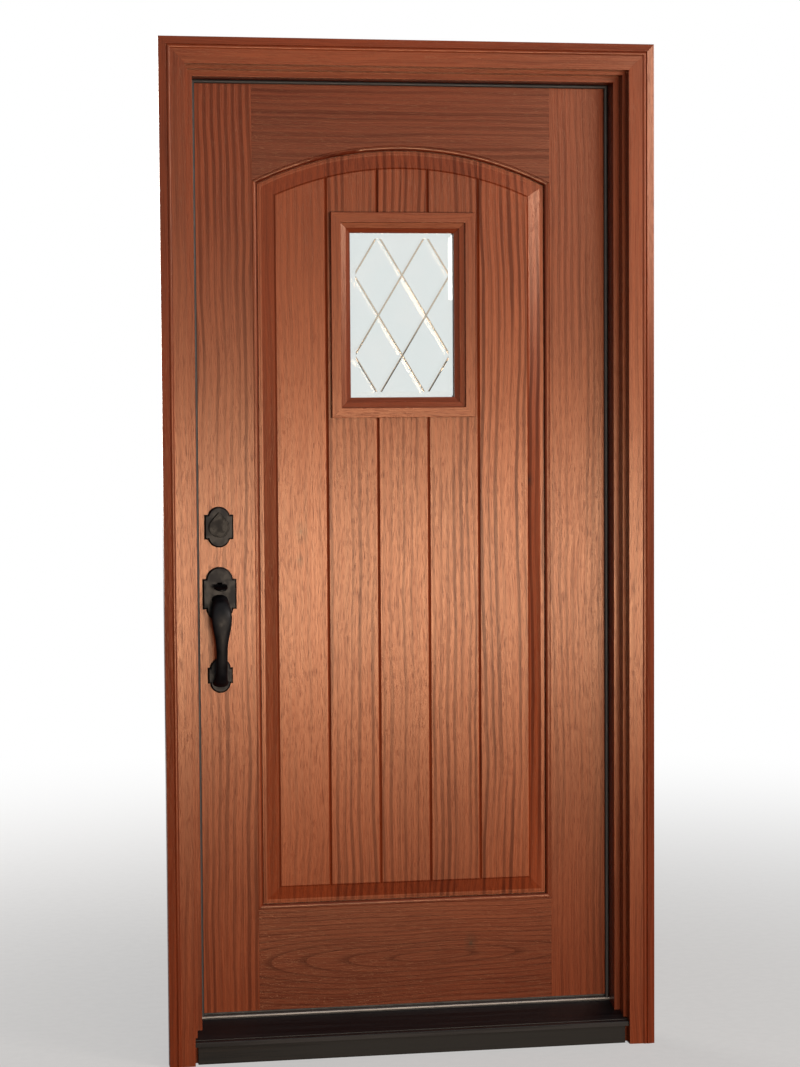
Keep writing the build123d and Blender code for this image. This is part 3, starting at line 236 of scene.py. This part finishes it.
across = put(tree, "ShaderNodeSeparateXYZ", {0: path}).outputs["X"]
wobble_noise = noise(tree, stretched(tree, path, wobble_stretch), wobble_scale)
wobble = maths(tree, "MULTIPLY", wobble_noise, band_wobble)
phase = maths(tree, "MULTIPLY", maths(tree, "ADD", across, wobble), math.tau / band_width)
waves = remap(tree, maths(tree, "SINE", phase), -0.8, 0.8)
band_noise = noise(tree, stretched(tree, path, band_stretch), band_scale, 1.0)
bands = maths(tree, "MULTIPLY", waves, remap(tree, band_noise, 0.34, 0.58, 0.25, 1.0))
flame_noise = noise(tree, stretched(tree, path, flame_stretch), flame_scale)
flames = remap(tree, flame_noise, 0.26, 0.50)
fibre_noise = noise(tree, stretched(tree, path, fibre_stretch), fibre_scale, 3.0)
fibres = remap(tree, fibre_noise, 0.3, 0.7)
pore_noise = noise(tree, stretched(tree, path, pore_stretch), pore_scale, 1.0)
pores = remap(tree, pore_noise, 0.58, 0.70)
tone_noise = noise(tree, stretched(tree, path, tone_stretch), tone_scale)
tone = remap(tree, tone_noise, 0.3, 0.7)
from_pith = vector_maths(tree, "SUBTRACT", {0: path, 1: given["Pith"]})
squeezed = stretched(tree, from_pith, ring_stretch)
pith_distance = vector_maths(tree, "LENGTH", {0: squeezed}, "Value")
uneven = maths(tree, "ADD", pith_distance, maths(tree, "MULTIPLY", tone_noise, ring_unevenness))
ring_step = maths(tree, "FRACT", maths(tree, "MULTIPLY", uneven, ring_count))
rings = maths(tree, "MULTIPLY", remap(tree, ring_step, 0.0, 0.4, 1.0, 0.0), given["Rings"])

ribbon = maths(tree, "MULTIPLY", maths(tree, "MULTIPLY", bands, flames), given["Ribbon"])
warmth = maths(
    tree, "ADD", maths(tree, "MULTIPLY", tone, warm_tone), maths(tree, "MULTIPLY", fibres, warm_fibres),
)
marks = maths(
    tree, "ADD", maths(tree, "MULTIPLY", pores, dark_pores), maths(tree, "MULTIPLY", rings, dark_rings),
)
ground = blend_colours(tree, warmth, given["Middle"], given["Light"])
banded = blend_colours(tree, ribbon, ground, given["Dark"])
tree.links.new(blend_colours(tree, marks, banded, given["Dark"]), result["Color"])
satin = maths(tree, "ADD", satin_ground, maths(tree, "MULTIPLY", fibres, satin_fibres))
roughness = maths(tree, "ADD", satin, maths(tree, "MULTIPLY", pores, satin_pores))
tree.links.new(roughness, result["Roughness"])
raised = maths(tree, "MULTIPLY", fibres, raised_fibres)
tree.links.new(maths(tree, "SUBTRACT", raised, pores), result["Height"])
darkness = maths(tree, "MAXIMUM", ribbon, marks)
tree.links.new(remap(tree, darkness, 0.0, 0.8, plain_shine, dark_shine), result["Shine"])
print("Ribbon grain has", len(tree.nodes), "nodes")

# %% [markdown]
# Knots
#
# A knot is a dark, slightly oval spot with a paler halo, where a twig once left the trunk. It is
# rare in door timber, so each one has a place. The distance to that place, disturbed by noise, makes
# a spot with a ragged rim.

# %% Knot group
rim_scale, rim_reach = 90.0, 0.008
knot_shape = (1.0, 0.0, 0.6)

knot_spot, given, result = new_group(
    "knot_spot",
    [("Vector", "Vector"), ("Centre", "Vector"), ("Size", "Float")],
    [("Heart", "Float"), ("Halo", "Float")],
)
tree = knot_spot
rim_noise = {"Vector": given["Vector"], "Scale": rim_scale, "Detail": 3.0}
rough = put(tree, "ShaderNodeTexNoise", rim_noise).outputs["Color"]
rough = vector_maths(tree, "SUBTRACT", {0: rough, 1: noise_middle})
rough = vector_maths(tree, "SCALE", {0: rough, "Scale": rim_reach})
away = vector_maths(tree, "SUBTRACT", {0: given["Vector"], 1: given["Centre"]})
away = vector_maths(tree, "ADD", {0: away, 1: rough})
flat = vector_maths(tree, "MULTIPLY", {0: away, 1: knot_shape})
distance = vector_maths(tree, "LENGTH", {0: flat}, "Value")
share = maths(tree, "DIVIDE", distance, given["Size"])
tree.links.new(remap(tree, share, 0.25, 0.8, 1.0, 0.0), result["Heart"])
tree.links.new(remap(tree, share, 0.8, 3.2, 1.0, 0.0), result["Halo"])
print("Knot has", len(tree.nodes), "nodes")

# %% [markdown]
# Varnished timber
#
# Each board is cut from its own place in the tree. In the material that is a Mapping node, which
# slides the pattern, and turns it where the grain runs across the door. The arris of a planed board
# is never quite sharp, so a Bevel node rounds the light over it by less than a millimetre.
#
# The varnish is satin: a thin coat over a fairly smooth ground. Its shine is tinted warm, and it is
# weaker in the dark bands, so that they stay dark under a lamp.

# %% Varnished timber
orange = (0.17, 0.029, 0.008, 1)
red_brown = (0.10, 0.015, 0.005, 1)
grey_brown = (0.026, 0.005, 0.0035, 1)
palettes = {
    "stile": (orange, red_brown, grey_brown),
    # The rails have a darker palette than the stiles and planks. That is painted shade: it stands in for
    # the weaker light at the door's top and foot.
    "rail": ((0.11, 0.015, 0.004, 1), (0.065, 0.008, 0.003, 1), (0.020, 0.003, 0.002, 1)),
    "plank": ((0.18, 0.032, 0.009, 1), (0.11, 0.018, 0.006, 1), grey_brown),
    "frame": ((0.16, 0.027, 0.008, 1), red_brown, grey_brown),
    "light": ((0.15, 0.026, 0.008, 1), (0.105, 0.017, 0.006, 1), grey_brown),
}
knot_heart, halo_strength = (0.02, 0.008, 0.006, 1), 0.45
arris_light, bevel_samples = 0.0008, 4
grain_bump, grain_depth = 0.3, 0.0003
varnish_tint = (1.0, 0.58, 0.36, 1)
coat_weight, coat_roughness = 0.08, 0.2
along_z = (0.0, 0.0, 0.0)
along_x = (0.0, math.radians(90.0), 0.0)


def timber(
    name, palette, number, ribbon=0.5, rings=0.0, turned=along_z, knots=(), pith=(0.0, 0.0, 0.0),
):
    """Varnished timber for one board, cut from its own place in the tree."""
    material, tree, shader, coordinates = new_material(name)
    place = (3.1 * number, 1.7 * number, 5.3 * number)
    cut_from = {"Vector": coordinates, "Location": place, "Rotation": turned}
    board = put(tree, "ShaderNodeMapping", cut_from)
    light, middle, dark = palettes[palette]
    grain = put(tree, "ShaderNodeGroup", node_tree=ribbon_grain)
    tree.links.new(board.outputs[0], grain.inputs["Vector"])
    grain.inputs["Pith"].default_value = Vector(place) + Euler(turned).to_matrix() @ Vector(pith)
    look = {"Light": light, "Middle": middle, "Dark": dark, "Ribbon": ribbon, "Rings": rings}
    for label, value in look.items():
        grain.inputs[label].default_value = value
    colour = grain.outputs["Color"]
    for centre, size in knots:
        spot = put(tree, "ShaderNodeGroup", node_tree=knot_spot)
        tree.links.new(coordinates, spot.inputs["Vector"])
        spot.inputs["Centre"].default_value = centre
        spot.inputs["Size"].default_value = size
        haze = maths(tree, "MULTIPLY", spot.outputs["Halo"], halo_strength)
        colour = blend_colours(tree, haze, colour, dark)
        colour = blend_colours(tree, spot.outputs["Heart"], colour, knot_heart)
    tree.links.new(colour, shader.inputs["Base Color"])
    tree.links.new(grain.outputs["Roughness"], shader.inputs["Roughness"])
    rounded = put(tree, "ShaderNodeBevel", {"Radius": arris_light}, samples=bevel_samples).outputs[0]
    bump = put(tree, "ShaderNodeBump", {"Height": grain.outputs["Height"], "Normal": rounded})
    bump.inputs["Strength"].default_value = grain_bump
    bump.inputs["Distance"].default_value = grain_depth
    tree.links.new(bump.outputs[0], shader.inputs["Normal"])
    tree.links.new(grain.outputs["Shine"], shader.inputs["Specular IOR Level"])
    shader.inputs["Specular Tint"].default_value = varnish_tint
    shader.inputs["Coat Weight"].default_value = coat_weight
    shader.inputs["Coat Roughness"].default_value = coat_roughness
    return material


plank_knots = {
    "plank_1": ((on_plane((301, 532)), 0.006), (on_plane((300, 560)), 0.004)),
    "plank_5": ((on_plane((530, 480)), 0.004),),
}
plank_ribbons = {
    "plank_1": 0.25, "plank_2": 0.5, "plank_3_upper": 0.6,
    "plank_3_lower": 0.45, "plank_4": 0.55, "plank_5": 0.65,
}
for number, (node, ribbon) in enumerate(plank_ribbons.items()):
    dress(node, timber(node, "plank", number + 1, ribbon, knots=plank_knots.get(node, ())))

dress("lock_stile", timber("lock_stile", "stile", 8, 0.5))
dress("hinge_stile", timber("hinge_stile", "stile", 9, 0.4))
# The rails take the darker palette, which is painted shade.
dress("top_rail", timber("top_rail", "rail", 10, 0.4, turned=along_x))
rail_knot = (on_plane((471, 943)), 0.006)
rail_pith = on_plane((440, 955))
rail_finish = timber("bottom_rail", "rail", 11, 0.15, 0.8, along_x, (rail_knot,), rail_pith)
dress("bottom_rail", rail_finish)

frame_boards = {
    "jamb_left": along_z, "jamb_right": along_z, "jamb_head": along_x,
    "brickmould_left": along_z, "brickmould_right": along_z, "brickmould_head": along_x,
}
spliced = {"jamb_left": ("jamb_left_lower", "jamb_left_strike", "jamb_left_upper")}
for number, (board, turned) in enumerate(frame_boards.items()):
    board_finish = timber(board, "frame", 12 + number, 0.25, turned=turned)
    for node in spliced.get(board, (board,)):
        dress(node, board_finish)
for number, side in enumerate(("left", "right", "top", "bottom")):
    turned = along_z if side in ("left", "right") else along_x
    for face in ("outer", "inner"):
        node = f"light_{face}_{side}"
        dress(node, timber(node, "light", 20 + number, 0.2, turned=turned))
timbers = [m for m in bpy.data.materials if m.node_tree and "Bevel" in m.node_tree.nodes]
print("Timber finishes made:", len(timbers))

# %% [markdown]
# Black lock set
#
# The plates and the grip look cast and coated black. The coat follows the casting's slight
# unevenness, which two sizes of noise give: one broad for the casting, and one fine for the coat. A
# Bevel node rounds the light over the edges. The key cover and the thumb piece have a darker copy of
# the coat than the plates. That darkness is painted shade: it stands in for the shade on these parts.

# %% Black coat
speckle_height = 0.4
cast_edge, cast_bump = 0.0005, 0.35

mottle, given, result = new_group(
    "mottle",
    [("Vector", "Vector"), ("Coarse", "Float"), ("Fine", "Float")],
    [("Patches", "Float"), ("Speckle", "Float"), ("Height", "Float")],
)
tree = mottle
patches = noise(tree, given["Vector"], given["Coarse"], 3.0)
speckle = noise(tree, given["Vector"], given["Fine"], 2.0)
tree.links.new(remap(tree, patches, 0.3, 0.7), result["Patches"])
tree.links.new(remap(tree, speckle, 0.35, 0.65), result["Speckle"])
specks = maths(tree, "MULTIPLY", speckle, speckle_height)
tree.links.new(maths(tree, "ADD", patches, specks), result["Height"])


def mottled(
    name, dark, light, metallic, roughness, coarse, fine, bump_height,
    stretch=(1.0, 1.0, 1.0), specular=0.5,
):
    """A finish whose colour and shine vary in broad patches and fine specks."""
    material, tree, shader, coordinates = new_material(name)
    scaled = put(tree, "ShaderNodeMapping", {"Vector": coordinates, "Scale": stretch})
    pattern = put(tree, "ShaderNodeGroup", node_tree=mottle)
    tree.links.new(scaled.outputs[0], pattern.inputs["Vector"])
    pattern.inputs["Coarse"].default_value = coarse
    pattern.inputs["Fine"].default_value = fine
    share = maths(tree, "MULTIPLY", pattern.outputs["Patches"], pattern.outputs["Speckle"])
    colour = blend_colours(tree, share, (*dark, 1), (*light, 1))
    tree.links.new(colour, shader.inputs["Base Color"])
    shine = remap(tree, pattern.outputs["Patches"], 0.0, 1.0, roughness - 0.06, roughness + 0.08)
    tree.links.new(shine, shader.inputs["Roughness"])
    rounded = put(tree, "ShaderNodeBevel", {"Radius": cast_edge}, samples=bevel_samples).outputs[0]
    bump = put(tree, "ShaderNodeBump", {"Height": pattern.outputs["Height"], "Normal": rounded})
    bump.inputs["Strength"].default_value = cast_bump
    bump.inputs["Distance"].default_value = bump_height
    tree.links.new(bump.outputs[0], shader.inputs["Normal"])
    shader.inputs["Metallic"].default_value = metallic
    shader.inputs["Specular IOR Level"].default_value = specular
    return material


black_coat = mottled(
    "black_coat", dark=(0.0012, 0.0012, 0.002), light=(0.005, 0.005, 0.007),
    metallic=0.0, roughness=0.42, coarse=60.0, fine=900.0, bump_height=0.0002, specular=0.14,
)
# A darker copy of the black coat, as painted shade on the key cover and the thumb piece.
worn_coat = mottled(
    "worn_coat", dark=(0.0008, 0.0008, 0.0012), light=(0.003, 0.003, 0.004),
    metallic=0.0, roughness=0.30, coarse=60.0, fine=900.0, bump_height=0.0002, specular=0.06,
)
coated = (
    "deadbolt_plate", "deadbolt_rose", "thumb_turn", "handle_plate", "foot_plate", "grip",
    "latch_rose", "knob",
)
for node in coated:
    dress(node, black_coat)
for node in ("key_cover", "thumb_piece"):
    dress(node, worn_coat)
print("Black coat on the lock set")

# %% [markdown]
# Metals, rubber and the sill
#
# The same mottle, stretched far along X or Z, turns into the fine lines of drawn or brushed metal.
# So one group serves the bronze sill, the aluminium cap, the hinges and the bolts, and, unstretched,
# the rubber of the seals and the brass of the key plug.

# %% Metals, rubber and the sill
drawn_along_x = (0.02, 1.0, 1.0)
drawn_along_z = (1.0, 1.0, 0.04)
bronze = mottled(
    "sill_bronze", dark=(0.002, 0.002, 0.003), light=(0.008, 0.007, 0.008), metallic=0.0,
    roughness=0.38, coarse=160.0, fine=900.0, bump_height=0.0001, stretch=drawn_along_x, specular=0.25,
)
aluminium = mottled(
    "sill_aluminium", dark=(0.14, 0.135, 0.135), light=(0.24, 0.235, 0.23), metallic=0.9,
    roughness=0.45, coarse=200.0, fine=1200.0, bump_height=0.00005, stretch=drawn_along_x,
)
# The riser is black-painted timber. Its near-black colour also stands in for the shade under the sill's
# nose, so it is partly painted shade.
sill_timber = mottled(
    "sill_timber", dark=(0.003, 0.003, 0.003), light=(0.010, 0.008, 0.007), metallic=0.0,
    roughness=0.6, coarse=90.0, fine=600.0, bump_height=0.0003, stretch=drawn_along_x, specular=0.2,
)
rubber = mottled(
    "seal_rubber", dark=(0.008, 0.008, 0.009), light=(0.02, 0.02, 0.021), metallic=0.0,
    roughness=0.58, coarse=80.0, fine=1500.0, bump_height=0.0001,
)
hinge_metal = mottled(
    "hinge_metal", dark=(0.10, 0.085, 0.072), light=(0.19, 0.165, 0.14), metallic=1.0,
    roughness=0.38, coarse=120.0, fine=1000.0, bump_height=0.00005, stretch=drawn_along_z,
)
steel = mottled(
    "bolt_steel", dark=(0.48, 0.47, 0.45), light=(0.66, 0.65, 0.62), metallic=1.0,
    roughness=0.30, coarse=150.0, fine=1200.0, bump_height=0.00004, stretch=drawn_along_x,
)
brass = mottled(
    "plug_brass", dark=(0.52, 0.36, 0.13), light=(0.70, 0.50, 0.20), metallic=1.0,
    roughness=0.30, coarse=150.0, fine=1200.0, bump_height=0.00004,
)
spacer = mottled(
    "spacer_metal", dark=(0.30, 0.30, 0.31), light=(0.42, 0.42, 0.43), metallic=1.0,
    roughness=0.42, coarse=150.0, fine=1100.0, bump_height=0.00004,
)
finishes = {
    "threshold": bronze, "sill_cap": aluminium, "sill_riser": sill_timber, "door_sweep": rubber,
    "weatherstrip": rubber,
    "hinge_jamb_plates": hinge_metal, "hinge_leaf_plates": hinge_metal, "hinge_pins": hinge_metal,
    "deadbolt": steel, "latch_bolt": steel, "deadbolt_case": steel, "latch_case": steel,
    "face_plates": hinge_metal, "strike_plates": hinge_metal, "deadbolt_cylinder": steel,
    "through_bolts": steel, "key_plug": brass, "glass_spacer": spacer,
}
for node, material in finishes.items():
    dress(node, material)
print("Other solids dressed:", len(finishes))

# %% [markdown]
# Bevelled glass
#
# The outer pane has a bevel all round and diamond lines cut into its face. A cut face bends the view
# behind it, and its ground surface is a little less clear than the polished pane. The outer pane's cut
# faces are also tinted brown, which is painted reflection: it stands in for the surroundings that the
# cuts mirror and bend into view, and it does much to make the lines show. The cut faces are the ones
# that don't face straight out, so the surface's own direction finds them, with no drawing of the pattern.

# %% Bevelled glass
ripple_colour = (0.80, 0.86, 0.86, 1)
polished, ground_glass = 0.015, 0.12
clear_glass = (0.86, 0.88, 0.87)


def glass(name, clear, cut):
    """Clear glass, tinted and a little rough where its face is cut at an angle."""
    material, tree, shader, coordinates = new_material(name)
    facing = tree.nodes.new("ShaderNodeTexCoord").outputs["Normal"]
    lean = put(tree, "ShaderNodeSeparateXYZ", {0: facing}).outputs["Y"]
    flatness = maths(tree, "ABSOLUTE", lean)
    cut_share = remap(tree, flatness, 0.90, 0.998, 1.0, 0.0)
    ripple = remap(tree, noise(tree, coordinates, 14.0), 0.3, 0.7, 0.0, 0.25)
    tint = blend_colours(tree, ripple, (*clear, 1), ripple_colour)
    tree.links.new(blend_colours(tree, cut_share, tint, (*cut, 1)), shader.inputs["Base Color"])
    clarity = remap(tree, cut_share, 0.0, 1.0, polished, ground_glass)
    tree.links.new(clarity, shader.inputs["Roughness"])
    unevenness = {"Height": noise(tree, coordinates, 9.0), "Strength": 0.15, "Distance": 0.0004}
    waves = put(tree, "ShaderNodeBump", unevenness)
    tree.links.new(waves.outputs[0], shader.inputs["Normal"])
    shader.inputs["Transmission Weight"].default_value = 1.0
    shader.inputs["IOR"].default_value = 1.5
    return material


# The outer pane's brown cut colour is painted reflection, standing in for the surroundings its cuts show.
dress("glass_outer", glass("glass_outer", clear_glass, (0.42, 0.30, 0.20)))
dress("glass_inner", glass("glass_inner", clear_glass, (0.70, 0.75, 0.74)))
print("Glass ready")

# %% [markdown]
# Screws
#
# A countersunk screw is a cone for its head, a thin shank and a cross cut into the head for the
# driver. The solids carry each without its cross. Here one screw is built by Geometry Nodes and set
# at every place, turned at random about its own axis, as screws are when they are driven home.
#
# The places aren't typed in. Every solid of the plain screws is found in the frame, and the middle of
# its head's face is the place.

# %% Screw places
def solid_boxes(node):
    """The lowest and highest corners of each separate solid of a node."""
    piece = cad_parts[node]
    mesh = bmesh.new()
    mesh.from_mesh(piece.data)
    bmesh.ops.remove_doubles(mesh, verts=mesh.verts, dist=1e-6)
    left = set(mesh.verts)
    boxes = []
    while left:
        reached = [left.pop()]
        corners = []
        while reached:
            corner = reached.pop()
            corners.append(piece.matrix_world @ corner.co)
            for edge in corner.link_edges:
                other = edge.other_vert(corner)
                if other in left:
                    left.remove(other)
                    reached.append(other)
        boxes.append([
            Vector([pick(corner[axis] for corner in corners) for axis in range(3)]) for pick in (min, max)
        ])
    mesh.free()
    return sorted(boxes, key=lambda box: (round(box[0].z, 4), round(box[0].y, 4)))


def head_places(node, direction):
    """The middle of each screw head's face, for screws that point along a direction."""
    places = []
    for low, high in solid_boxes(node):
        place = (low + high) / 2
        for axis in range(3):
            if direction[axis]:
                place[axis] = low[axis] if direction[axis] > 0 else high[axis]
        places.append(place)
    return places


# %% Screw tree
screw_sizes = {
    "Head Radius": 0.0042, "Head Height": 0.0024, "Shank Radius": 0.0021, "Length": 0.0155, "Cross": 0.0011,
}
head_sides, shank_sides = 32, 16
wing_share = 1.25
twist_seed = 7

screw_tree = bpy.data.node_groups.new("countersunk_screws", "GeometryNodeTree")
screw_tree.interface.new_socket("Geometry", in_out="INPUT", socket_type="NodeSocketGeometry")
for label, value in screw_sizes.items():
    size_input = screw_tree.interface.new_socket(label, in_out="INPUT", socket_type="NodeSocketFloat")
    size_input.default_value = value
screw_tree.interface.new_socket("Direction", in_out="INPUT", socket_type="NodeSocketVector")
screw_tree.interface.new_socket("Finish", in_out="INPUT", socket_type="NodeSocketMaterial")
screw_tree.interface.new_socket("Geometry", in_out="OUTPUT", socket_type="NodeSocketGeometry")
tree = screw_tree
given = tree.nodes.new("NodeGroupInput").outputs
head = put(tree, "GeometryNodeMeshCone", {
    "Vertices": head_sides, "Radius Bottom": given["Head Radius"], "Radius Top": given["Shank Radius"],
    "Depth": given["Head Height"],
}).outputs["Mesh"]
shank = put(tree, "GeometryNodeMeshCylinder", {
    "Vertices": shank_sides, "Radius": given["Shank Radius"], "Depth": given["Length"],
}).outputs["Mesh"]
half_length = maths(tree, "MULTIPLY", given["Length"], 0.5)
shank_place = put(tree, "ShaderNodeCombineXYZ", {"Z": half_length}).outputs[0]
shank_moved = {"Geometry": shank, "Translation": shank_place}
shank = put(tree, "GeometryNodeTransform", shank_moved).outputs[0]
body = put(tree, "GeometryNodeMeshBoolean", {"Mesh 2": head}, operation="UNION")
tree.links.new(shank, body.inputs["Mesh 2"])
wing = maths(tree, "MULTIPLY", given["Head Radius"], wing_share)
bars = []
for wide, deep in ((wing, given["Cross"]), (given["Cross"], wing)):
    bar_size = {"X": wide, "Y": deep, "Z": given["Head Height"]}
    size = put(tree, "ShaderNodeCombineXYZ", bar_size).outputs[0]
    bars.append(put(tree, "GeometryNodeMeshCube", {"Size": size}).outputs["Mesh"])
uncut = {"Mesh 1": body.outputs["Mesh"], "Mesh 2": bars[0]}
cut = put(tree, "GeometryNodeMeshBoolean", uncut, operation="DIFFERENCE")
tree.links.new(bars[1], cut.inputs["Mesh 2"])
pointed = {"Vector": given["Direction"]}
aim = put(tree, "FunctionNodeAlignRotationToVector", pointed, axis="Z").outputs[0]
any_angle = {"Min": (0, 0, 0), "Max": (0, 0, math.tau), "Seed": twist_seed}
twist = put(tree, "FunctionNodeRandomValue", any_angle, data_type="FLOAT_VECTOR")
both_turns = {"Rotation": aim, "Rotate By": twist.outputs[0]}
turned = put(tree, "FunctionNodeRotateRotation", both_turns, rotation_space="LOCAL")
spread = put(tree, "GeometryNodeInstanceOnPoints", {
    "Points": given["Geometry"], "Instance": cut.outputs["Mesh"], "Rotation": turned.outputs[0],
}).outputs[0]
real = put(tree, "GeometryNodeRealizeInstances", {"Geometry": spread}).outputs[0]
finished = put(tree, "GeometryNodeSetMaterial", {"Geometry": real, "Material": given["Finish"]}).outputs[0]
tree.links.new(finished, tree.nodes.new("NodeGroupOutput").inputs["Geometry"])


def driven_screws(node, direction, body_name, finish):
    """Screws with cut heads at every place of a node of plain ones, as one mesh."""
    places = head_places(node, direction)
    points = bpy.data.meshes.new(node + "_places")
    points.from_pydata(places, [], [])
    holder = bpy.data.objects.new(node + "_places", points)
    scene.collection.objects.link(holder)
    modifier = holder.modifiers.new("screws", "NODES")
    modifier.node_group = screw_tree
    for item in screw_tree.interface.items_tree:
        if item.in_out == "INPUT" and item.name == "Direction":
            modifier[item.identifier] = direction
        if item.in_out == "INPUT" and item.name == "Finish":
            modifier[item.identifier] = finish
    evaluated = holder.evaluated_get(bpy.context.evaluated_depsgraph_get())
    mesh = bpy.data.meshes.new_from_object(evaluated)
    bpy.data.objects.remove(holder)
    made = bpy.data.objects.new("driven_" + node, mesh)
    scene.collection.objects.link(made)
    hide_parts(node)
    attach(made, body_name)
    print(node, len(places), "screws,", len(mesh.polygons), "faces")


screw_steel = mottled(
    "screw_steel", dark=(0.16, 0.14, 0.12), light=(0.28, 0.25, 0.22), metallic=1.0,
    roughness=0.34, coarse=200.0, fine=1400.0, bump_height=0.00004,
)
driven_screws("strike_screws", (-1.0, 0.0, 0.0), "frame", screw_steel)
driven_screws("jamb_hinge_screws", (1.0, 0.0, 0.0), "frame", screw_steel)
driven_screws("leaf_hinge_screws", (-1.0, 0.0, 0.0), "leaf", screw_steel)
driven_screws("face_plate_screws", (1.0, 0.0, 0.0), "leaf", screw_steel)

# %% [markdown]
# Light, floor and background
#
# One soft lamp stands high at the front right, so the right bevel of the panel is brighter than the
# left one. A second one, wide, low and warm, stands where the varnish mirrors it to the camera, so a
# soft shine lies across the middle of the boards. A lamp indoors serves the inner face, and doesn't
# show through the glass.
#
# The world gives little light, most of it from the sides. It still looks white to the camera, to
# reflections and through glass. The floor keeps the door's shadow near it, and glows to the camera
# further off, so that it turns into the white background.

# %% Light, floor and background
def soft_lamp(name, place, target, size, power, colour=(1.0, 1.0, 1.0)):
    """A rectangular lamp that looks at a point."""
    data = bpy.data.lights.new(name, "AREA")
    data.color = colour
    data.shape = "RECTANGLE"
    data.size, data.size_y = size
    data.energy = power
    lamp = bpy.data.objects.new(name, data)
    lamp.location = place
    lamp.rotation_euler = (Vector(target) - Vector(place)).to_track_quat("-Z", "Y").to_euler()
    scene.collection.objects.link(lamp)


door_middle = (0.0, 0.0, 1.05)
soft_lamp("porch_light", (1.9, -2.4, 2.3), (0.0, 0.0, 1.6), (1.2, 1.2), 60.0, (1.0, 0.88, 0.80))
soft_lamp("varnish_light", (0.75, -5.3, 0.62), door_middle, (2.7, 0.85), 225.0, (1.0, 0.79, 0.60))
soft_lamp("indoor_light", (-2.4, 4.4, 1.9), door_middle, (2.0, 2.0), 150.0, (1.0, 0.95, 0.9))
bpy.data.objects["indoor_light"].visible_transmission = False

floor_mesh = bpy.data.meshes.new("floor")
floor_reach = 12.0
floor_colours = (0.36, 0.35, 0.34, 1), (0.40, 0.39, 0.38, 1)
glow_start, glow_full, least_glow = 0.6, 4.5, 0.45
floor_mesh.from_pydata(
    [(x * floor_reach, y * floor_reach, cad_box[0].z) for x, y in ((-1, -1), (1, -1), (1, 1), (-1, 1))],
    [], [(0, 1, 2, 3)],
)
floor = bpy.data.objects.new("floor", floor_mesh)
scene.collection.objects.link(floor)
floor_material, tree, shader, coordinates = new_material("floor")
speck = remap(tree, noise(tree, coordinates, 40.0, 4.0), 0.3, 0.7)
pale = blend_colours(tree, speck, *floor_colours)
tree.links.new(pale, shader.inputs["Base Color"])
shader.inputs["Roughness"].default_value = 0.9
glow = put(tree, "ShaderNodeEmission", {"Color": (1, 1, 1, 1), "Strength": 1.0}).outputs[0]
away = vector_maths(tree, "LENGTH", {0: coordinates}, "Value")
fade = remap(tree, away, glow_start, glow_full, least_glow, 1.0)
camera_ray = tree.nodes.new("ShaderNodeLightPath").outputs["Is Camera Ray"]
lit = maths(tree, "MULTIPLY", camera_ray, fade)
mixed = put(tree, "ShaderNodeMixShader", {0: lit, 1: shader.outputs[0], 2: glow}).outputs[0]
tree.links.new(mixed, tree.nodes["Material Output"].inputs["Surface"])
floor_mesh.materials.append(floor_material)

ambient_above, ambient_beside = 0.03, 0.11
world = bpy.data.worlds.new("world")
world.use_nodes = True
scene.world = world
tree = world.node_tree
tree.nodes.clear()
path = tree.nodes.new("ShaderNodeLightPath").outputs
seen = maths(tree, "MAXIMUM", path["Is Camera Ray"], path["Is Transmission Ray"])
seen = maths(tree, "MAXIMUM", seen, path["Is Glossy Ray"])
direction = tree.nodes.new("ShaderNodeTexCoord").outputs["Generated"]
height = put(tree, "ShaderNodeSeparateXYZ", {0: direction}).outputs["Z"]
level = maths(tree, "SUBTRACT", 1.0, maths(tree, "ABSOLUTE", height))
ambient_level = remap(tree, level, 0.0, 1.0, ambient_above, ambient_beside)
daylight = {"Color": (0.95, 0.97, 1.0, 1), "Strength": ambient_level}
ambient = put(tree, "ShaderNodeBackground", daylight).outputs[0]
white = put(tree, "ShaderNodeBackground", {"Color": (1, 1, 1, 1), "Strength": 1.0}).outputs[0]
both = put(tree, "ShaderNodeMixShader", {0: seen, 1: ambient, 2: white}).outputs[0]
put(tree, "ShaderNodeOutputWorld", {"Surface": both})
scene.view_settings.view_transform = "Standard"
print("Lamps:", len(bpy.data.lights))
